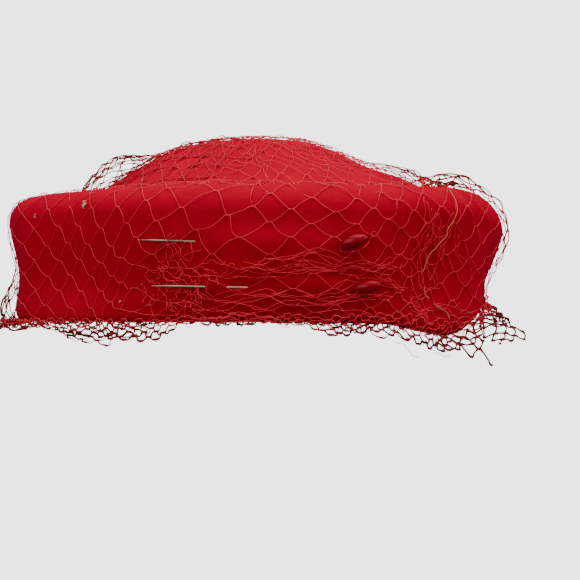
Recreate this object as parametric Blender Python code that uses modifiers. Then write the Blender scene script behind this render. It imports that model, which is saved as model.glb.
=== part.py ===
"""A blocked wool felt pillbox hat with a domed crown, a coarse net veil drawn over it and two hat pins.

Units are metres and +Z is up. The origin is the centre of the head opening, level with the felt's lower
edge. +X is the hat's right as seen from the side with the pins, and -Y is that side.
The felt is one moulded wall: an oval upright side, a round shoulder, a shallow valley and a dome.
"""

import math
from collections import namedtuple

import bmesh
import bpy
import numpy as np
from mathutils import Matrix, Vector

# Felt body, outside sizes
BASE_LENGTH = 0.206
BASE_WIDTH = 0.180
WALL_HEIGHT = 0.053
CROWN_HEIGHT = 0.0800
FELT_THICKNESS = 0.0022
WALL_FLARE = 0.005
SHOULDER_RADIUS = 0.010
HEM_TUCK = 0.0022
HEM_DIP = 0.0065
RIM_DIP = 0.0022
VALLEY_DEPTH = 0.0012
DOME_END_SETBACK = 0.022
DOME_SIDE_SETBACK = 0.018
DOME_SHIFT = 0.0044
WALL_SQUARENESS = 2.4
DOME_SQUARENESS = 2.05

# Hat pins
PIN_LENGTH = 0.088
PIN_DIAMETER = 0.0010
PIN_POINT_LENGTH = 0.006
PIN_HEAD_LENGTH = 0.0130
PIN_HEAD_DIAMETER = 0.0054
PIN_HEAD_LEAN = math.radians(14.0)
PIN_HEAD_HOLLOW = 0.0009
PIN_HEAD_REACH = 0.011
PIN_NECK = 0.0018
PIN_SOCKET_DEPTH = 0.004
PIN_CLEARANCE = 0.0003
STITCH_SKIN = 0.0009

# Veil
NET_COLUMNS = 16
NET_ROWS = 7
NET_STRAND_WIDTH = 0.0014
NET_STRAND_THICKNESS = 0.0011
NET_SEAT_GAP = 0.0016
VEIL_LIFT = 0.010
VEIL_GAP = 0.010
HEM_HANG = 0.012
HEM_SPREAD = 0.010

# Mesh density of the felt, finer over the side with the pins
PIN_SIDE_REACH = 68.0
PIN_SIDE_SEGMENTS = 34
OTHER_SIDE_SEGMENTS = 28
SHOULDER_STEPS = 4

# The wall from its lower edge to the shoulder. height is a share of the straight wall, flare a share of the
# side's flare, tuck a share of HEM_TUCK.
WallRow = namedtuple("WallRow", "name height flare tuck")
WALL_ROWS = (
    WallRow("hem", 0.00, 0.00, 1.00),
    WallRow("hem_roll", 0.04, 0.00, 0.30),
    WallRow("foot", 0.11, 0.00, 0.00),
    WallRow("under_lower_pin", 0.20, 0.04, 0.05),
    WallRow("lower_pin", 0.29, 0.09, 0.10),
    WallRow("waist", 0.38, 0.16, 0.10),
    WallRow("middle", 0.50, 0.35, 0.08),
    WallRow("under_upper_pin", 0.62, 0.52, 0.06),
    WallRow("upper_pin", 0.72, 0.68, 0.03),
    WallRow("over_upper_pin", 0.83, 0.84, 0.00),
    WallRow("spring", 1.00, 1.00, 0.00),
)

# How the body changes from side to side, each value a share of the size it is named for. Azimuth 0 is +X and
# -90 is the side with the pins.
SideRow = namedtuple("SideRow", "azimuth flare shoulder rim_dip")
SIDE_ROWS = (
    SideRow(-180.0, 0.45, 0.95, 1.00),
    SideRow(-135.0, 0.70, 0.95, 0.75),
    SideRow(-90.0, 1.00, 1.00, 0.00),
    SideRow(-62.0, 1.10, 1.05, 0.00),
    SideRow(-38.0, 1.30, 1.20, -0.50),
    SideRow(0.0, 1.65, 1.75, 0.00),
    SideRow(38.0, 1.30, 1.20, -0.30),
    SideRow(90.0, 1.00, 1.10, 0.00),
    SideRow(135.0, 0.70, 1.00, 0.50),
)

# The lower edge from side to side: dip is a share of HEM_DIP. It droops at the near right corner and is
# scooped up at the right end.
EdgeRow = namedtuple("EdgeRow", "azimuth dip")
EDGE_ROWS = (
    EdgeRow(-180.0, 0.15),
    EdgeRow(-135.0, 0.05),
    EdgeRow(-90.0, 0.00),
    EdgeRow(-66.0, 0.10),
    EdgeRow(-41.0, 0.92),
    EdgeRow(-12.0, -1.15),
    EdgeRow(8.0, -1.25),
    EdgeRow(48.0, 0.10),
    EdgeRow(90.0, 0.00),
)

# Soft hollows and swells of the wall. azimuth and half_angle in degrees, height and half_height shares of the
# wall's height, rise a share of the felt's thickness, outwards.
DentRow = namedtuple("DentRow", "name azimuth half_angle height half_height rise")
DENT_ROWS = (
    DentRow("near_right_flute", -51.0, 17.0, 0.42, 0.55, -1.35),
    DentRow("near_right_swell", -29.0, 20.0, 0.12, 0.45, 1.10),
    DentRow("near_left_hollow", -122.0, 24.0, 0.30, 0.45, -0.80),
    DentRow("left_pinch", -166.0, 20.0, 0.40, 0.35, -0.90),
    DentRow("far_right_flute", 54.0, 18.0, 0.45, 0.55, -0.90),
    DentRow("far_left_hollow", 128.0, 26.0, 0.50, 0.50, -0.90),
)

# The dome from the valley to its top. reach and shift are shares of half its length, rise a share of its height.
DomeRow = namedtuple("DomeRow", "name reach rise shift")
DOME_ROWS = (
    DomeRow("foot", 1.00, 0.00, 0.02),
    DomeRow("sweep", 0.93, 0.09, 0.02),
    DomeRow("skirt", 0.81, 0.30, 0.01),
    DomeRow("lower_side", 0.63, 0.54, -0.04),
    DomeRow("upper_side", 0.49, 0.745, -0.04),
    DomeRow("brow", 0.36, 0.88, -0.03),
    DomeRow("cap", 0.20, 0.96, -0.01),
    DomeRow("top", 0.00, 1.00, 0.00),
)

# Each pin crosses the wall where it enters beside its head and where it leaves. x is a share of half the base
# length, z a share of the wall's height, sink the depth of the pin's middle line under the smooth wall there as
# a share of the felt's thickness. head_tilt is the head's rise from level, in degrees.
PinRow = namedtuple("PinRow", "name enter_x enter_z enter_sink leave_x leave_z leave_sink welt_rise head_tilt")
PIN_ROWS = (
    PinRow("upper", 0.320, 0.547, 0.12, -0.174, 0.576, 0.30, 0.55, 16.0),
    PinRow("lower", 0.368, 0.238, 0.12, 0.010, 0.250, 0.40, 0.80, 9.0),
)
STITCH_X = -0.113
STITCH_LENGTH = 0.0105
STITCH_HEIGHT = 0.0085

# The veil from its top to its edge. place names what the row follows and share is its place along that. lift
# and rim are shares of the side's lift over the dome's foot and over the rim, gap of its gap outside the wall.
VeilRow = namedtuple("VeilRow", "place share lift rim gap")
VEIL_ROWS = (
    VeilRow("dome", 0.19, 0.00, 0.00, 0.0),
    VeilRow("dome", 0.40, 0.08, 0.00, 0.0),
    VeilRow("dome", 0.62, 0.35, 0.00, 0.0),
    VeilRow("dome", 0.88, 1.00, 0.00, 0.0),
    VeilRow("shoulder", 0.90, 0.00, 1.00, 0.10),
    VeilRow("shoulder", 0.42, 0.00, 0.65, 0.75),
    VeilRow("wall", 0.66, 0.00, 0.00, 1.00),
    VeilRow("wall", 0.25, 0.00, 0.00, 1.00),
    VeilRow("edge", 0.00, 0.00, 0.00, 1.00),
)

# How the veil stands off from side to side: lift and rim shares of VEIL_LIFT, gap of VEIL_GAP, hang of
# HEM_HANG, spread of HEM_SPREAD.
DrapeRow = namedtuple("DrapeRow", "azimuth lift rim gap hang spread")
DRAPE_ROWS = (
    DrapeRow(-180.0, 0.90, 0.15, 0.30, 0.70, 0.65),
    DrapeRow(-150.0, 0.60, 0.12, 0.35, 0.80, 0.70),
    DrapeRow(-118.0, 0.25, 0.12, 0.80, 0.85, 0.60),
    DrapeRow(-90.0, 0.15, 0.15, 0.75, 0.45, 0.45),
    DrapeRow(-66.0, 0.15, 0.20, 0.80, 0.50, 0.45),
    DrapeRow(-44.0, 0.50, 0.45, 0.55, 1.30, 0.50),
    DrapeRow(-24.0, 0.95, 0.90, 0.40, 2.15, 1.10),
    DrapeRow(0.0, 1.25, 1.25, 0.35, 1.80, 1.35),
    DrapeRow(40.0, 1.20, 0.90, 0.45, 1.35, 0.70),
    DrapeRow(90.0, 1.00, 0.60, 0.50, 0.70, 0.60),
    DrapeRow(140.0, 1.00, 0.40, 0.45, 0.70, 0.60),
)

FELT_RED = (0.42, 0.004, 0.008, 1.0)
NET_RED = (0.50, 0.03, 0.05, 1.0)
PIN_HEAD_RED = (0.25, 0.002, 0.006, 1.0)
STEEL = (0.62, 0.60, 0.56, 1.0)


def around(rows, azimuth, column):
    """A side table's column at an azimuth in degrees, eased from row to row round the whole hat."""
    known = [row.azimuth for row in rows]
    azimuth = (azimuth - known[0]) % 360.0 + known[0]
    last = max(index for index, value in enumerate(known) if value <= azimuth)
    following = (last + 1) % len(rows)
    span = (known[following] - known[last]) % 360.0
    share = (azimuth - known[last]) / span
    eased = share * share * (3.0 - 2.0 * share)
    low, high = getattr(rows[last], column), getattr(rows[following], column)
    return low + (high - low) * eased


def ring_point(azimuth, half_length, half_width, squareness):
    """A point of a level superellipse, an oval with fuller corners where squareness is above 2."""
    cosine, sine = math.cos(math.radians(azimuth)), math.sin(math.radians(azimuth))
    power = 2.0 / squareness
    across = math.copysign(abs(cosine) ** power, cosine) * half_length
    along = math.copysign(abs(sine) ** power, sine) * half_width
    return Vector((across, along, 0.0))


def wall_outline(azimuth, flare, inset):
    """The wall's outline at a share of its flare, moved inwards by inset."""
    out = WALL_FLARE * around(SIDE_ROWS, azimuth, "flare") * flare - inset
    return ring_point(azimuth, BASE_LENGTH / 2.0 + out, BASE_WIDTH / 2.0 + out, WALL_SQUARENESS)


def outward(azimuth):
    """The level direction that the wall faces at an azimuth."""
    step = 0.5
    ahead = wall_outline(azimuth + step, 0.5, 0.0)
    behind = wall_outline(azimuth - step, 0.5, 0.0)
    along = (ahead - behind).normalized()
    return Vector((along.y, -along.x, 0.0))


def swell(distance):
    """1 in the middle, falling smoothly to 0 at a distance of 1."""
    return math.cos(min(abs(distance), 1.0) * math.pi / 2.0) ** 2


def rim_height(azimuth):
    return WALL_HEIGHT - RIM_DIP * around(SIDE_ROWS, azimuth, "rim_dip")


def shoulder_radius(azimuth):
    return SHOULDER_RADIUS * around(SIDE_ROWS, azimuth, "shoulder")


def hem_height(azimuth):
    return -HEM_DIP * around(EDGE_ROWS, azimuth, "dip")


def dent(azimuth, height):
    """How far the wall stands out at a place because of its hollows and swells."""
    rise = 0.0
    for row in DENT_ROWS:
        turn = (azimuth - row.azimuth + 180.0) % 360.0 - 180.0
        level = height / WALL_HEIGHT - row.height
        rise += row.rise * FELT_THICKNESS * swell(turn / row.half_angle) * swell(level / row.half_height)
    return rise


def plain_wall_point(azimuth, share):
    """A point of the straight wall, before any pin lifts it, at a share of the way up to the shoulder."""
    heights = [row.height for row in WALL_ROWS]
    flare = float(np.interp(share, heights, [row.flare for row in WALL_ROWS]))
    tuck = float(np.interp(share, heights, [row.tuck for row in WALL_ROWS]))
    point = wall_outline(azimuth, flare, tuck * HEM_TUCK)
    low, high = hem_height(azimuth), rim_height(azimuth) - shoulder_radius(azimuth)
    point.z = low + (high - low) * share
    return point + outward(azimuth) * dent(azimuth, point.z)


def near_wall_at(x, z):
    """The outer point of the side with the pins at a given x and height, found by halving the azimuth's range."""
    low, high = -180.0, 0.0
    for _ in range(40):
        middle = (low + high) / 2.0
        foot, top = hem_height(middle), rim_height(middle) - shoulder_radius(middle)
        point = plain_wall_point(middle, min(max((z - foot) / (top - foot), 0.0), 1.0))
        if point.x < x:
            low = middle
        else:
            high = middle
    return point, outward(middle)


class Pin:
    """One hat pin: a straight shank through the near wall, and a drop-shaped head tilted up at its end."""

    def __init__(self, row):
        self.name = row.name
        entry, entry_out = near_wall_at(row.enter_x * BASE_LENGTH / 2.0, row.enter_z * WALL_HEIGHT)
        exit_, exit_out = near_wall_at(row.leave_x * BASE_LENGTH / 2.0, row.leave_z * WALL_HEIGHT)
        self.enter = entry - entry_out * row.enter_sink * FELT_THICKNESS
        self.leave = exit_ - exit_out * row.leave_sink * FELT_THICKNESS
        self.along = (self.enter - self.leave).normalized()
        self.neck = self.enter + self.along * PIN_NECK
        self.tip = self.neck + self.along * (PIN_HEAD_LENGTH - PIN_LENGTH)
        level = self.along * math.cos(PIN_HEAD_LEAN) + entry_out * math.sin(PIN_HEAD_LEAN)
        self.head_along = Matrix.Rotation(-math.radians(row.head_tilt), 3, "Y") @ level.normalized()
        self.head_middle = self.neck + self.head_along * PIN_HEAD_LENGTH / 2.0
        self.welt_rise = row.welt_rise * FELT_THICKNESS

    def at_x(self, x):
        return self.leave + self.along * ((x - self.leave.x) / self.along.x)

    def push(self, point):
        """How far the felt stands out over the hidden part of the shank, less the hollow behind the head."""
        share = (point.x - self.leave.x) / (self.enter.x - self.leave.x)
        lengthwise = min(max(1.0 - abs(share - 0.5) * 2.0, 0.0) * 4.0, 1.0)
        welt = self.welt_rise * lengthwise * swell((point.z - self.leave.z) / STITCH_HEIGHT)
        across = math.hypot(point.x - self.head_middle.x, point.z - self.head_middle.z)
        return welt - PIN_HEAD_HOLLOW * swell(across / PIN_HEAD_REACH)


PINS = [Pin(row) for row in PIN_ROWS]


def wall_point(azimuth, share):
    """A point of the straight wall, lifted where a pin runs behind it."""
    point = plain_wall_point(azimuth, share)
    if point.y < 0.0:
        point += outward(azimuth) * sum(pin.push(point) for pin in PINS)
    return point


def shoulder_point(azimuth, angle):
    """A point of the round shoulder, angle 0 at the wall and a quarter turn at its top."""
    radius = shoulder_radius(azimuth)
    point = wall_outline(azimuth, 1.0, radius * (1.0 - math.cos(angle)))
    point.z = rim_height(azimuth) - radius * (1.0 - math.sin(angle))
    fade = 1.0 - math.sin(angle)
    return point + outward(azimuth) * dent(azimuth, point.z) * fade


def dome_point(azimuth, share):
    """A point of the dome at a share of its half size, 1 in the valley and 0 at the top."""
    half_length = BASE_LENGTH / 2.0 - DOME_END_SETBACK
    half_width = BASE_WIDTH / 2.0 - DOME_SIDE_SETBACK
    reaches = [row.reach for row in reversed(DOME_ROWS)]
    rise = float(np.interp(share, reaches, [row.rise for row in reversed(DOME_ROWS)]))
    shift = float(np.interp(share, reaches, [row.shift for row in reversed(DOME_ROWS)]))
    point = ring_point(azimuth, half_length, half_width, DOME_SQUARENESS) * share
    valley = WALL_HEIGHT - VALLEY_DEPTH
    point.x += DOME_SHIFT + half_length * shift
    point.z = valley + (CROWN_HEIGHT - valley) * rise
    return point


def valley_point(azimuth):
    """The lowest line between the shoulder and the dome."""
    point = (shoulder_point(azimuth, math.pi / 2.0) + dome_point(azimuth, 1.0)) / 2.0
    point.z = WALL_HEIGHT - VALLEY_DEPTH - RIM_DIP / 2.0 * around(SIDE_ROWS, azimuth, "rim_dip")
    return point


def felt_azimuths():
    """The azimuths of the felt's columns, closer together over the side with the pins."""
    near = [2.0 * PIN_SIDE_REACH * index / PIN_SIDE_SEGMENTS for index in range(PIN_SIDE_SEGMENTS)]
    far_span = 360.0 - 2.0 * PIN_SIDE_REACH
    far = [2.0 * PIN_SIDE_REACH + far_span * index / OTHER_SIDE_SEGMENTS for index in range(OTHER_SIDE_SEGMENTS)]
    return [azimuth - 90.0 - PIN_SIDE_REACH for azimuth in near + far]


def felt_rings():
    """The felt's outer rings from the hem to just short of the dome's top."""
    azimuths = felt_azimuths()
    rings = [[wall_point(azimuth, row.height) for azimuth in azimuths] for row in WALL_ROWS]
    for step in range(1, SHOULDER_STEPS + 1):
        angle = math.pi / 2.0 * step / SHOULDER_STEPS
        rings.append([shoulder_point(azimuth, angle) for azimuth in azimuths])
    rings.append([valley_point(azimuth) for azimuth in azimuths])
    rings += [[dome_point(azimuth, row.reach) for azimuth in azimuths] for row in DOME_ROWS[:-1]]
    return rings


def new_object(name, mesh, collection, material=None):
    obj = bpy.data.objects.new(name, mesh)
    collection.objects.link(obj)
    if material:
        mesh.materials.append(material)
    return obj


def make_material(name, colour, roughness, metallic=0.0, sheen=0.0):
    material = bpy.data.materials.new(name)
    material.use_nodes = True
    shader = material.node_tree.nodes["Principled BSDF"]
    shader.inputs["Base Color"].default_value = colour
    shader.inputs["Roughness"].default_value = roughness
    shader.inputs["Metallic"].default_value = metallic
    shader.inputs["Sheen Weight"].default_value = sheen
    return material


def mesh_of_rings(name, rings, top=None):
    """A mesh through rings of equal length, closed over the last ring by a fan to the top point."""
    work = bmesh.new()
    rows = [[work.verts.new(point) for point in ring] for ring in rings]
    for lower, upper in zip(rows, rows[1:]):
        for index in range(len(lower)):
            following = (index + 1) % len(lower)
            work.faces.new((lower[index], lower[following], upper[following], upper[index]))
    if top is not None:
        crown = work.verts.new(top)
        for index in range(len(rows[-1])):
            work.faces.new((rows[-1][index], rows[-1][(index + 1) % len(rows[-1])], crown))
    mesh = bpy.data.meshes.new(name)
    work.to_mesh(mesh)
    work.free()
    mesh.shade_smooth()
    return mesh


def add_boolean(obj, operation, other):
    modifier = obj.modifiers.new(f"{operation.lower()}_{other.name}", "BOOLEAN")
    modifier.operation = operation
    modifier.solver = "EXACT"
    modifier.object = other
    other.hide_render = True
    other.display_type = "WIRE"


def felt_body(collection, cutters, material):
    """The moulded felt: an open shell of the outer shape, thickened inwards, bored where the pins pass."""
    mesh = mesh_of_rings("felt_body", felt_rings(), dome_point(0.0, 0.0))
    body = new_object("felt_body", mesh, collection, material)
    wall = body.modifiers.new("felt_wall", "SOLIDIFY")
    wall.thickness = FELT_THICKNESS
    wall.offset = -1.0
    wall.use_even_offset = True
    add_boolean(body, "UNION", stitch_pucker(cutters))
    for pin in PINS:
        add_boolean(body, "DIFFERENCE", pin_bore(pin, cutters))
    return body


def stitch_pucker(cutters):
    """The small lens of felt that the lower pin's point passes under."""
    pin = PINS[1]
    on_pin = pin.at_x(STITCH_X * BASE_LENGTH / 2.0)
    on_wall, out = near_wall_at(on_pin.x, on_pin.z)
    proud = (on_pin - on_wall).dot(out) + PIN_DIAMETER / 2.0 + PIN_CLEARANCE + STITCH_SKIN
    work = bmesh.new()
    bmesh.ops.create_uvsphere(work, u_segments=16, v_segments=10, radius=1.0)
    bmesh.ops.scale(work, vec=(STITCH_LENGTH / 2.0, proud, STITCH_HEIGHT / 2.0), verts=work.verts)
    turn = math.atan2(out.x, -out.y)
    bmesh.ops.rotate(work, matrix=Matrix.Rotation(turn, 3, "Z"), verts=work.verts)
    mesh = bpy.data.meshes.new("stitch_pucker")
    work.to_mesh(mesh)
    work.free()
    pucker = new_object("stitch_pucker", mesh, cutters)
    pucker.location = on_wall
    return pucker


def rod(name, start, end, radius, collection, material=None, sides=12):
    """A straight round rod between two points."""
    work = bmesh.new()
    length = (end - start).length
    bmesh.ops.create_cone(
        work, cap_ends=True, segments=sides, radius1=radius, radius2=radius, depth=length
    )
    mesh = bpy.data.meshes.new(name)
    work.to_mesh(mesh)
    work.free()
    obj = new_object(name, mesh, collection, material)
    obj.location = (start + end) / 2.0
    obj.rotation_euler = (end - start).to_track_quat("Z", "Y").to_euler()
    return obj


def pin_bore(pin, cutters):
    """The cutter that keeps the felt clear of a pin's shank."""
    start = pin.tip - pin.along * PIN_CLEARANCE * 2.0
    end = pin.neck + pin.along * PIN_NECK
    return rod(f"pin_bore_{pin.name}", start, end, PIN_DIAMETER / 2.0 + PIN_CLEARANCE, cutters)


def pin_shank(pin, collection, material):
    """The steel wire: pointed at its tip, straight, and bent up a little into the head."""
    curve = bpy.data.curves.new(f"pin_shank_{pin.name}", "CURVE")
    curve.dimensions = "3D"
    curve.bevel_depth = PIN_DIAMETER / 2.0
    curve.bevel_resolution = 2
    curve.use_fill_caps = True
    end = pin.neck + pin.head_along * PIN_SOCKET_DEPTH
    stops = (
        (pin.tip, 0.12),
        (pin.tip + pin.along * PIN_POINT_LENGTH, 1.0),
        (pin.neck - pin.along * PIN_DIAMETER, 1.0),
        (pin.neck + (pin.along + pin.head_along) * PIN_DIAMETER / 4.0, 1.0),
        (end, 1.0),
    )
    spline = curve.splines.new("POLY")
    spline.points.add(len(stops) - 1)
    for point, (place, share) in zip(spline.points, stops):
        point.co = (*place, 1.0)
        point.radius = share
    obj = bpy.data.objects.new(f"pin_shank_{pin.name}", curve)
    curve.materials.append(material)
    collection.objects.link(obj)
    return obj


def head_radius(share):
    """The drop's radius at a share of its length from the narrow end, as a share of its largest radius."""
    return math.sin(math.pi * share**1.25) ** 0.75 if 0.0 < share < 1.0 else 0.0


def pin_head(pin, collection, cutters, material):
    """The drop-shaped glossy head, with a blind socket that the shank sits in."""
    steps = 10
    shares = [0.5 + 0.5 * math.cos(math.pi * step / steps) for step in range(steps + 1)]
    work = bmesh.new()
    profile = [work.verts.new((head_radius(s) * PIN_HEAD_DIAMETER / 2.0, 0.0, s * PIN_HEAD_LENGTH)) for s in shares]
    for first, second in zip(profile, profile[1:]):
        work.edges.new((first, second))
    mesh = bpy.data.meshes.new(f"pin_head_{pin.name}")
    work.to_mesh(mesh)
    work.free()
    head = new_object(f"pin_head_{pin.name}", mesh, collection, material)
    turned = head.modifiers.new("turned", "SCREW")
    turned.steps = turned.render_steps = 14
    turned.use_merge_vertices = True
    turned.merge_threshold = 0.00002
    head.location = pin.neck
    head.rotation_euler = pin.head_along.to_track_quat("Z", "Y").to_euler()
    socket = rod(
        f"pin_socket_{pin.name}",
        pin.neck - pin.head_along * PIN_DIAMETER,
        pin.neck + pin.head_along * (PIN_SOCKET_DEPTH + PIN_CLEARANCE),
        PIN_DIAMETER / 2.0 + PIN_CLEARANCE,
        cutters,
    )
    add_boolean(head, "DIFFERENCE", socket)
    return head


def veil_row_point(azimuth, row):
    """Where the veil lies over the felt for one row of its table."""
    lift = VEIL_LIFT * around(DRAPE_ROWS, azimuth, "lift") * row.lift
    lift += VEIL_LIFT * around(DRAPE_ROWS, azimuth, "rim") * row.rim
    gap = VEIL_GAP * around(DRAPE_ROWS, azimuth, "gap") * row.gap
    if row.place == "dome":
        point = dome_point(azimuth, row.share)
        point.z += NET_SEAT_GAP + lift
        return point
    if row.place == "shoulder":
        point = shoulder_point(azimuth, row.share * math.pi / 2.0)
        point.z += NET_SEAT_GAP + lift
        return point + outward(azimuth) * (NET_SEAT_GAP + gap)
    if row.place == "wall":
        return wall_point(azimuth, row.share) + outward(azimuth) * (NET_SEAT_GAP + gap)
    point = wall_point(azimuth, 0.0)
    point.z -= HEM_HANG * around(DRAPE_ROWS, azimuth, "hang")
    return point + outward(azimuth) * HEM_SPREAD * around(DRAPE_ROWS, azimuth, "spread")


def veil_point(azimuth, share):
    """The veil's surface: a smooth curve through the rows, share 0 at the gathered top and 1 at the edge."""
    places = [veil_row_point(azimuth, row) for row in VEIL_ROWS]
    scaled = min(max(share, 0.0), 1.0) * (len(places) - 1)
    index = min(int(scaled), len(places) - 2)
    part = scaled - index
    before, first, second, after = (
        places[max(index - 1, 0)],
        places[index],
        places[index + 1],
        places[min(index + 2, len(places) - 1)],
    )
    return (
        first * (1.0 - 2.5 * part**2 + 1.5 * part**3)
        + second * (0.5 * part + 2.0 * part**2 - 1.5 * part**3)
        + before * (-0.5 * part + part**2 - 0.5 * part**3)
        + after * (-0.5 * part**2 + 0.5 * part**3)
    )


def veil_net(collection, material):
    """The net: eight-cornered diamonds on the veil's surface, each inset and opened, then thickened."""
    work = bmesh.new()
    made = {}

    def corner(column, row):
        """The vertex at a half column and half row, shared by the diamonds that meet there."""
        key = (column % (4 * NET_COLUMNS), row)
        if key not in made:
            azimuth = 360.0 * column / (4 * NET_COLUMNS)
            made[key] = work.verts.new(veil_point(azimuth, row / (2.0 * NET_ROWS)))
        return made[key]

    for row in range(1, NET_ROWS):
        for column in range(NET_COLUMNS):
            middle = 4 * column + 2 * (row % 2)
            level = 2 * row
            steps = ((0, -2), (-1, -1), (-2, 0), (-1, 1), (0, 2), (1, 1), (2, 0), (1, -1))
            work.faces.new([corner(middle + across, level + down) for across, down in steps])
    cells = list(work.faces)
    bmesh.ops.recalc_face_normals(work, faces=cells)
    bmesh.ops.inset_individual(work, faces=cells, thickness=NET_STRAND_WIDTH / 2.0, use_even_offset=True)
    bmesh.ops.delete(work, geom=cells, context="FACES_ONLY")
    mesh = bpy.data.meshes.new("veil_net")
    work.to_mesh(mesh)
    work.free()
    net = new_object("veil_net", mesh, collection, material)
    strands = net.modifiers.new("strands", "SOLIDIFY")
    strands.thickness = NET_STRAND_THICKNESS
    strands.offset = 0.0
    return net


def main():
    for obj in list(bpy.data.objects):
        bpy.data.objects.remove(obj)
    scene = bpy.context.scene
    hat = bpy.data.collections.new("pillbox_hat")
    cutters = bpy.data.collections.new("cutters")
    scene.collection.children.link(hat)
    scene.collection.children.link(cutters)
    felt = make_material("felt", FELT_RED, 0.95, sheen=0.3)
    net = make_material("net", NET_RED, 0.55)
    gloss = make_material("pin_head_red", PIN_HEAD_RED, 0.12)
    steel = make_material("pin_steel", STEEL, 0.25, metallic=1.0)
    felt_body(hat, cutters, felt)
    veil_net(hat, net)
    for pin in PINS:
        pin_shank(pin, hat, steel)
        pin_head(pin, hat, cutters, gloss)


main()
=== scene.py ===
"""The look of a red felt pillbox hat: moulded felt, a fine net veil laid over it, and two hat pins.

Lengths are metres in the frame of the solids: origin in the middle of the head opening at the felt's edge,
+X right and -Y towards the side with the pins. Every form is a function of an azimuth round the hat (0 at
+X, -90 at the pins' side) and a travel up the felt from its lower edge to the top of the dome.
"""

import math
from collections import namedtuple

import bpy
import numpy as np
from bpy.props import FloatProperty, FloatVectorProperty, IntProperty, PointerProperty
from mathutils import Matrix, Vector


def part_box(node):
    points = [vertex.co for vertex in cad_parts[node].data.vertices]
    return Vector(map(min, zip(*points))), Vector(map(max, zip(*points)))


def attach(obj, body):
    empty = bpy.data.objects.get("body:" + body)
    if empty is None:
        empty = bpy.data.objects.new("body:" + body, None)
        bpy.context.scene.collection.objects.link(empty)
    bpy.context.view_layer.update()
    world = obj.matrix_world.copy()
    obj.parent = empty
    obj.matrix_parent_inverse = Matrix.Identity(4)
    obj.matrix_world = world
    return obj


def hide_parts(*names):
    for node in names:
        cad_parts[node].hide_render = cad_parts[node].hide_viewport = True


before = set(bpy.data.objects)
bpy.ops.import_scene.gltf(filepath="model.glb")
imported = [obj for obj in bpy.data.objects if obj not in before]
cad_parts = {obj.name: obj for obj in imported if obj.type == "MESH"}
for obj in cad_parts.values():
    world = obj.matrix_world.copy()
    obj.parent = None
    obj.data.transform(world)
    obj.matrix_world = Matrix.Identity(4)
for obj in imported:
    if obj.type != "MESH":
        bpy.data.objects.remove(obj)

bl_info = {
    "name": "Felt pillbox hat with veil",
    "version": (1, 0, 0),
    "blender": (4, 5, 0),
    "location": "View3D > Sidebar > Hat",
    "description": "Builds the felt, the net veil, the pins and the studio of a pillbox hat",
    "category": "Add Mesh",
}


def table(columns, *rows):
    """A tuple of rows whose columns are named."""
    row_type = namedtuple("Row", columns)
    return tuple(row_type(*row) for row in rows)


# Felt body, the same sizes as the solids
BASE_LENGTH = 0.206
BASE_WIDTH = 0.180
WALL_HEIGHT = 0.053
CROWN_HEIGHT = 0.0800
FELT_THICKNESS = 0.0022
WALL_FLARE = 0.005
SHOULDER_RADIUS = 0.010
HEM_TUCK = 0.0022
HEM_DIP = 0.0065
RIM_DIP = 0.0022
VALLEY_DEPTH = 0.0012
DOME_END_SETBACK = 0.022
DOME_SIDE_SETBACK = 0.018
DOME_SHIFT = 0.0044
WALL_SQUARENESS = 2.4
DOME_SQUARENESS = 2.05

# Stations up the felt: 0 lower edge, 1 and 2 foot and top of the shoulder, 3 and 4 foot and top of the dome
TOP_STATION = 4.0

# The dome's way from foot to top for each metre of the straight line between them
DOME_ARC = 1.03

# The steps in degrees and stations either side over which the felt's direction is measured, and how far from
# the top it still can be
TURN_STEP = 0.4
CLIMB_STEP = 0.01
TOP_MARGIN = 0.03

# Points round the outline from which even steps along it are found, for the back's columns and for the hem's
OUTLINE_POINTS = 400
HEM_OUTLINE_POINTS = 721

# The wall from its lower edge to the shoulder, shares of the straight wall, of the flare and of the tuck
WALL_ROWS = table(
    "height flare tuck",
    (0.00, 0.00, 1.00),
    (0.04, 0.00, 0.30),
    (0.11, 0.00, 0.00),
    (0.29, 0.09, 0.10),
    (0.50, 0.35, 0.08),
    (0.72, 0.68, 0.03),
    (1.00, 1.00, 0.00),
)

# Shares of the named sizes round the hat
SIDE_ROWS = table(
    "azimuth flare shoulder rim_dip",
    (-180.0, 0.45, 0.95, 1.00),
    (-135.0, 0.70, 0.95, 0.75),
    (-90.0, 1.00, 1.00, 0.00),
    (-62.0, 1.10, 1.05, 0.00),
    (-38.0, 1.30, 1.20, -0.50),
    (0.0, 1.65, 1.75, 0.00),
    (38.0, 1.30, 1.20, -0.30),
    (90.0, 1.00, 1.10, 0.00),
    (135.0, 0.70, 1.00, 0.50),
)

# The lower edge round the hat, as shares of its dip: drooping at the near right, scooped up at the right
EDGE_ROWS = table(
    "azimuth dip",
    (-180.0, 0.15),
    (-135.0, 0.05),
    (-90.0, 0.00),
    (-66.0, 0.10),
    (-41.0, 0.92),
    (-12.0, -1.15),
    (8.0, -1.25),
    (48.0, 0.10),
    (90.0, 0.00),
)

# The dome from the valley to its top, shares of its half size and of its height
DOME_ROWS = table(
    "reach rise shift",
    (1.00, 0.00, 0.02),
    (0.93, 0.09, 0.02),
    (0.81, 0.30, 0.01),
    (0.63, 0.54, -0.04),
    (0.49, 0.745, -0.04),
    (0.36, 0.88, -0.03),
    (0.20, 0.96, -0.01),
    (0.00, 1.00, 0.00),
)

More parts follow.
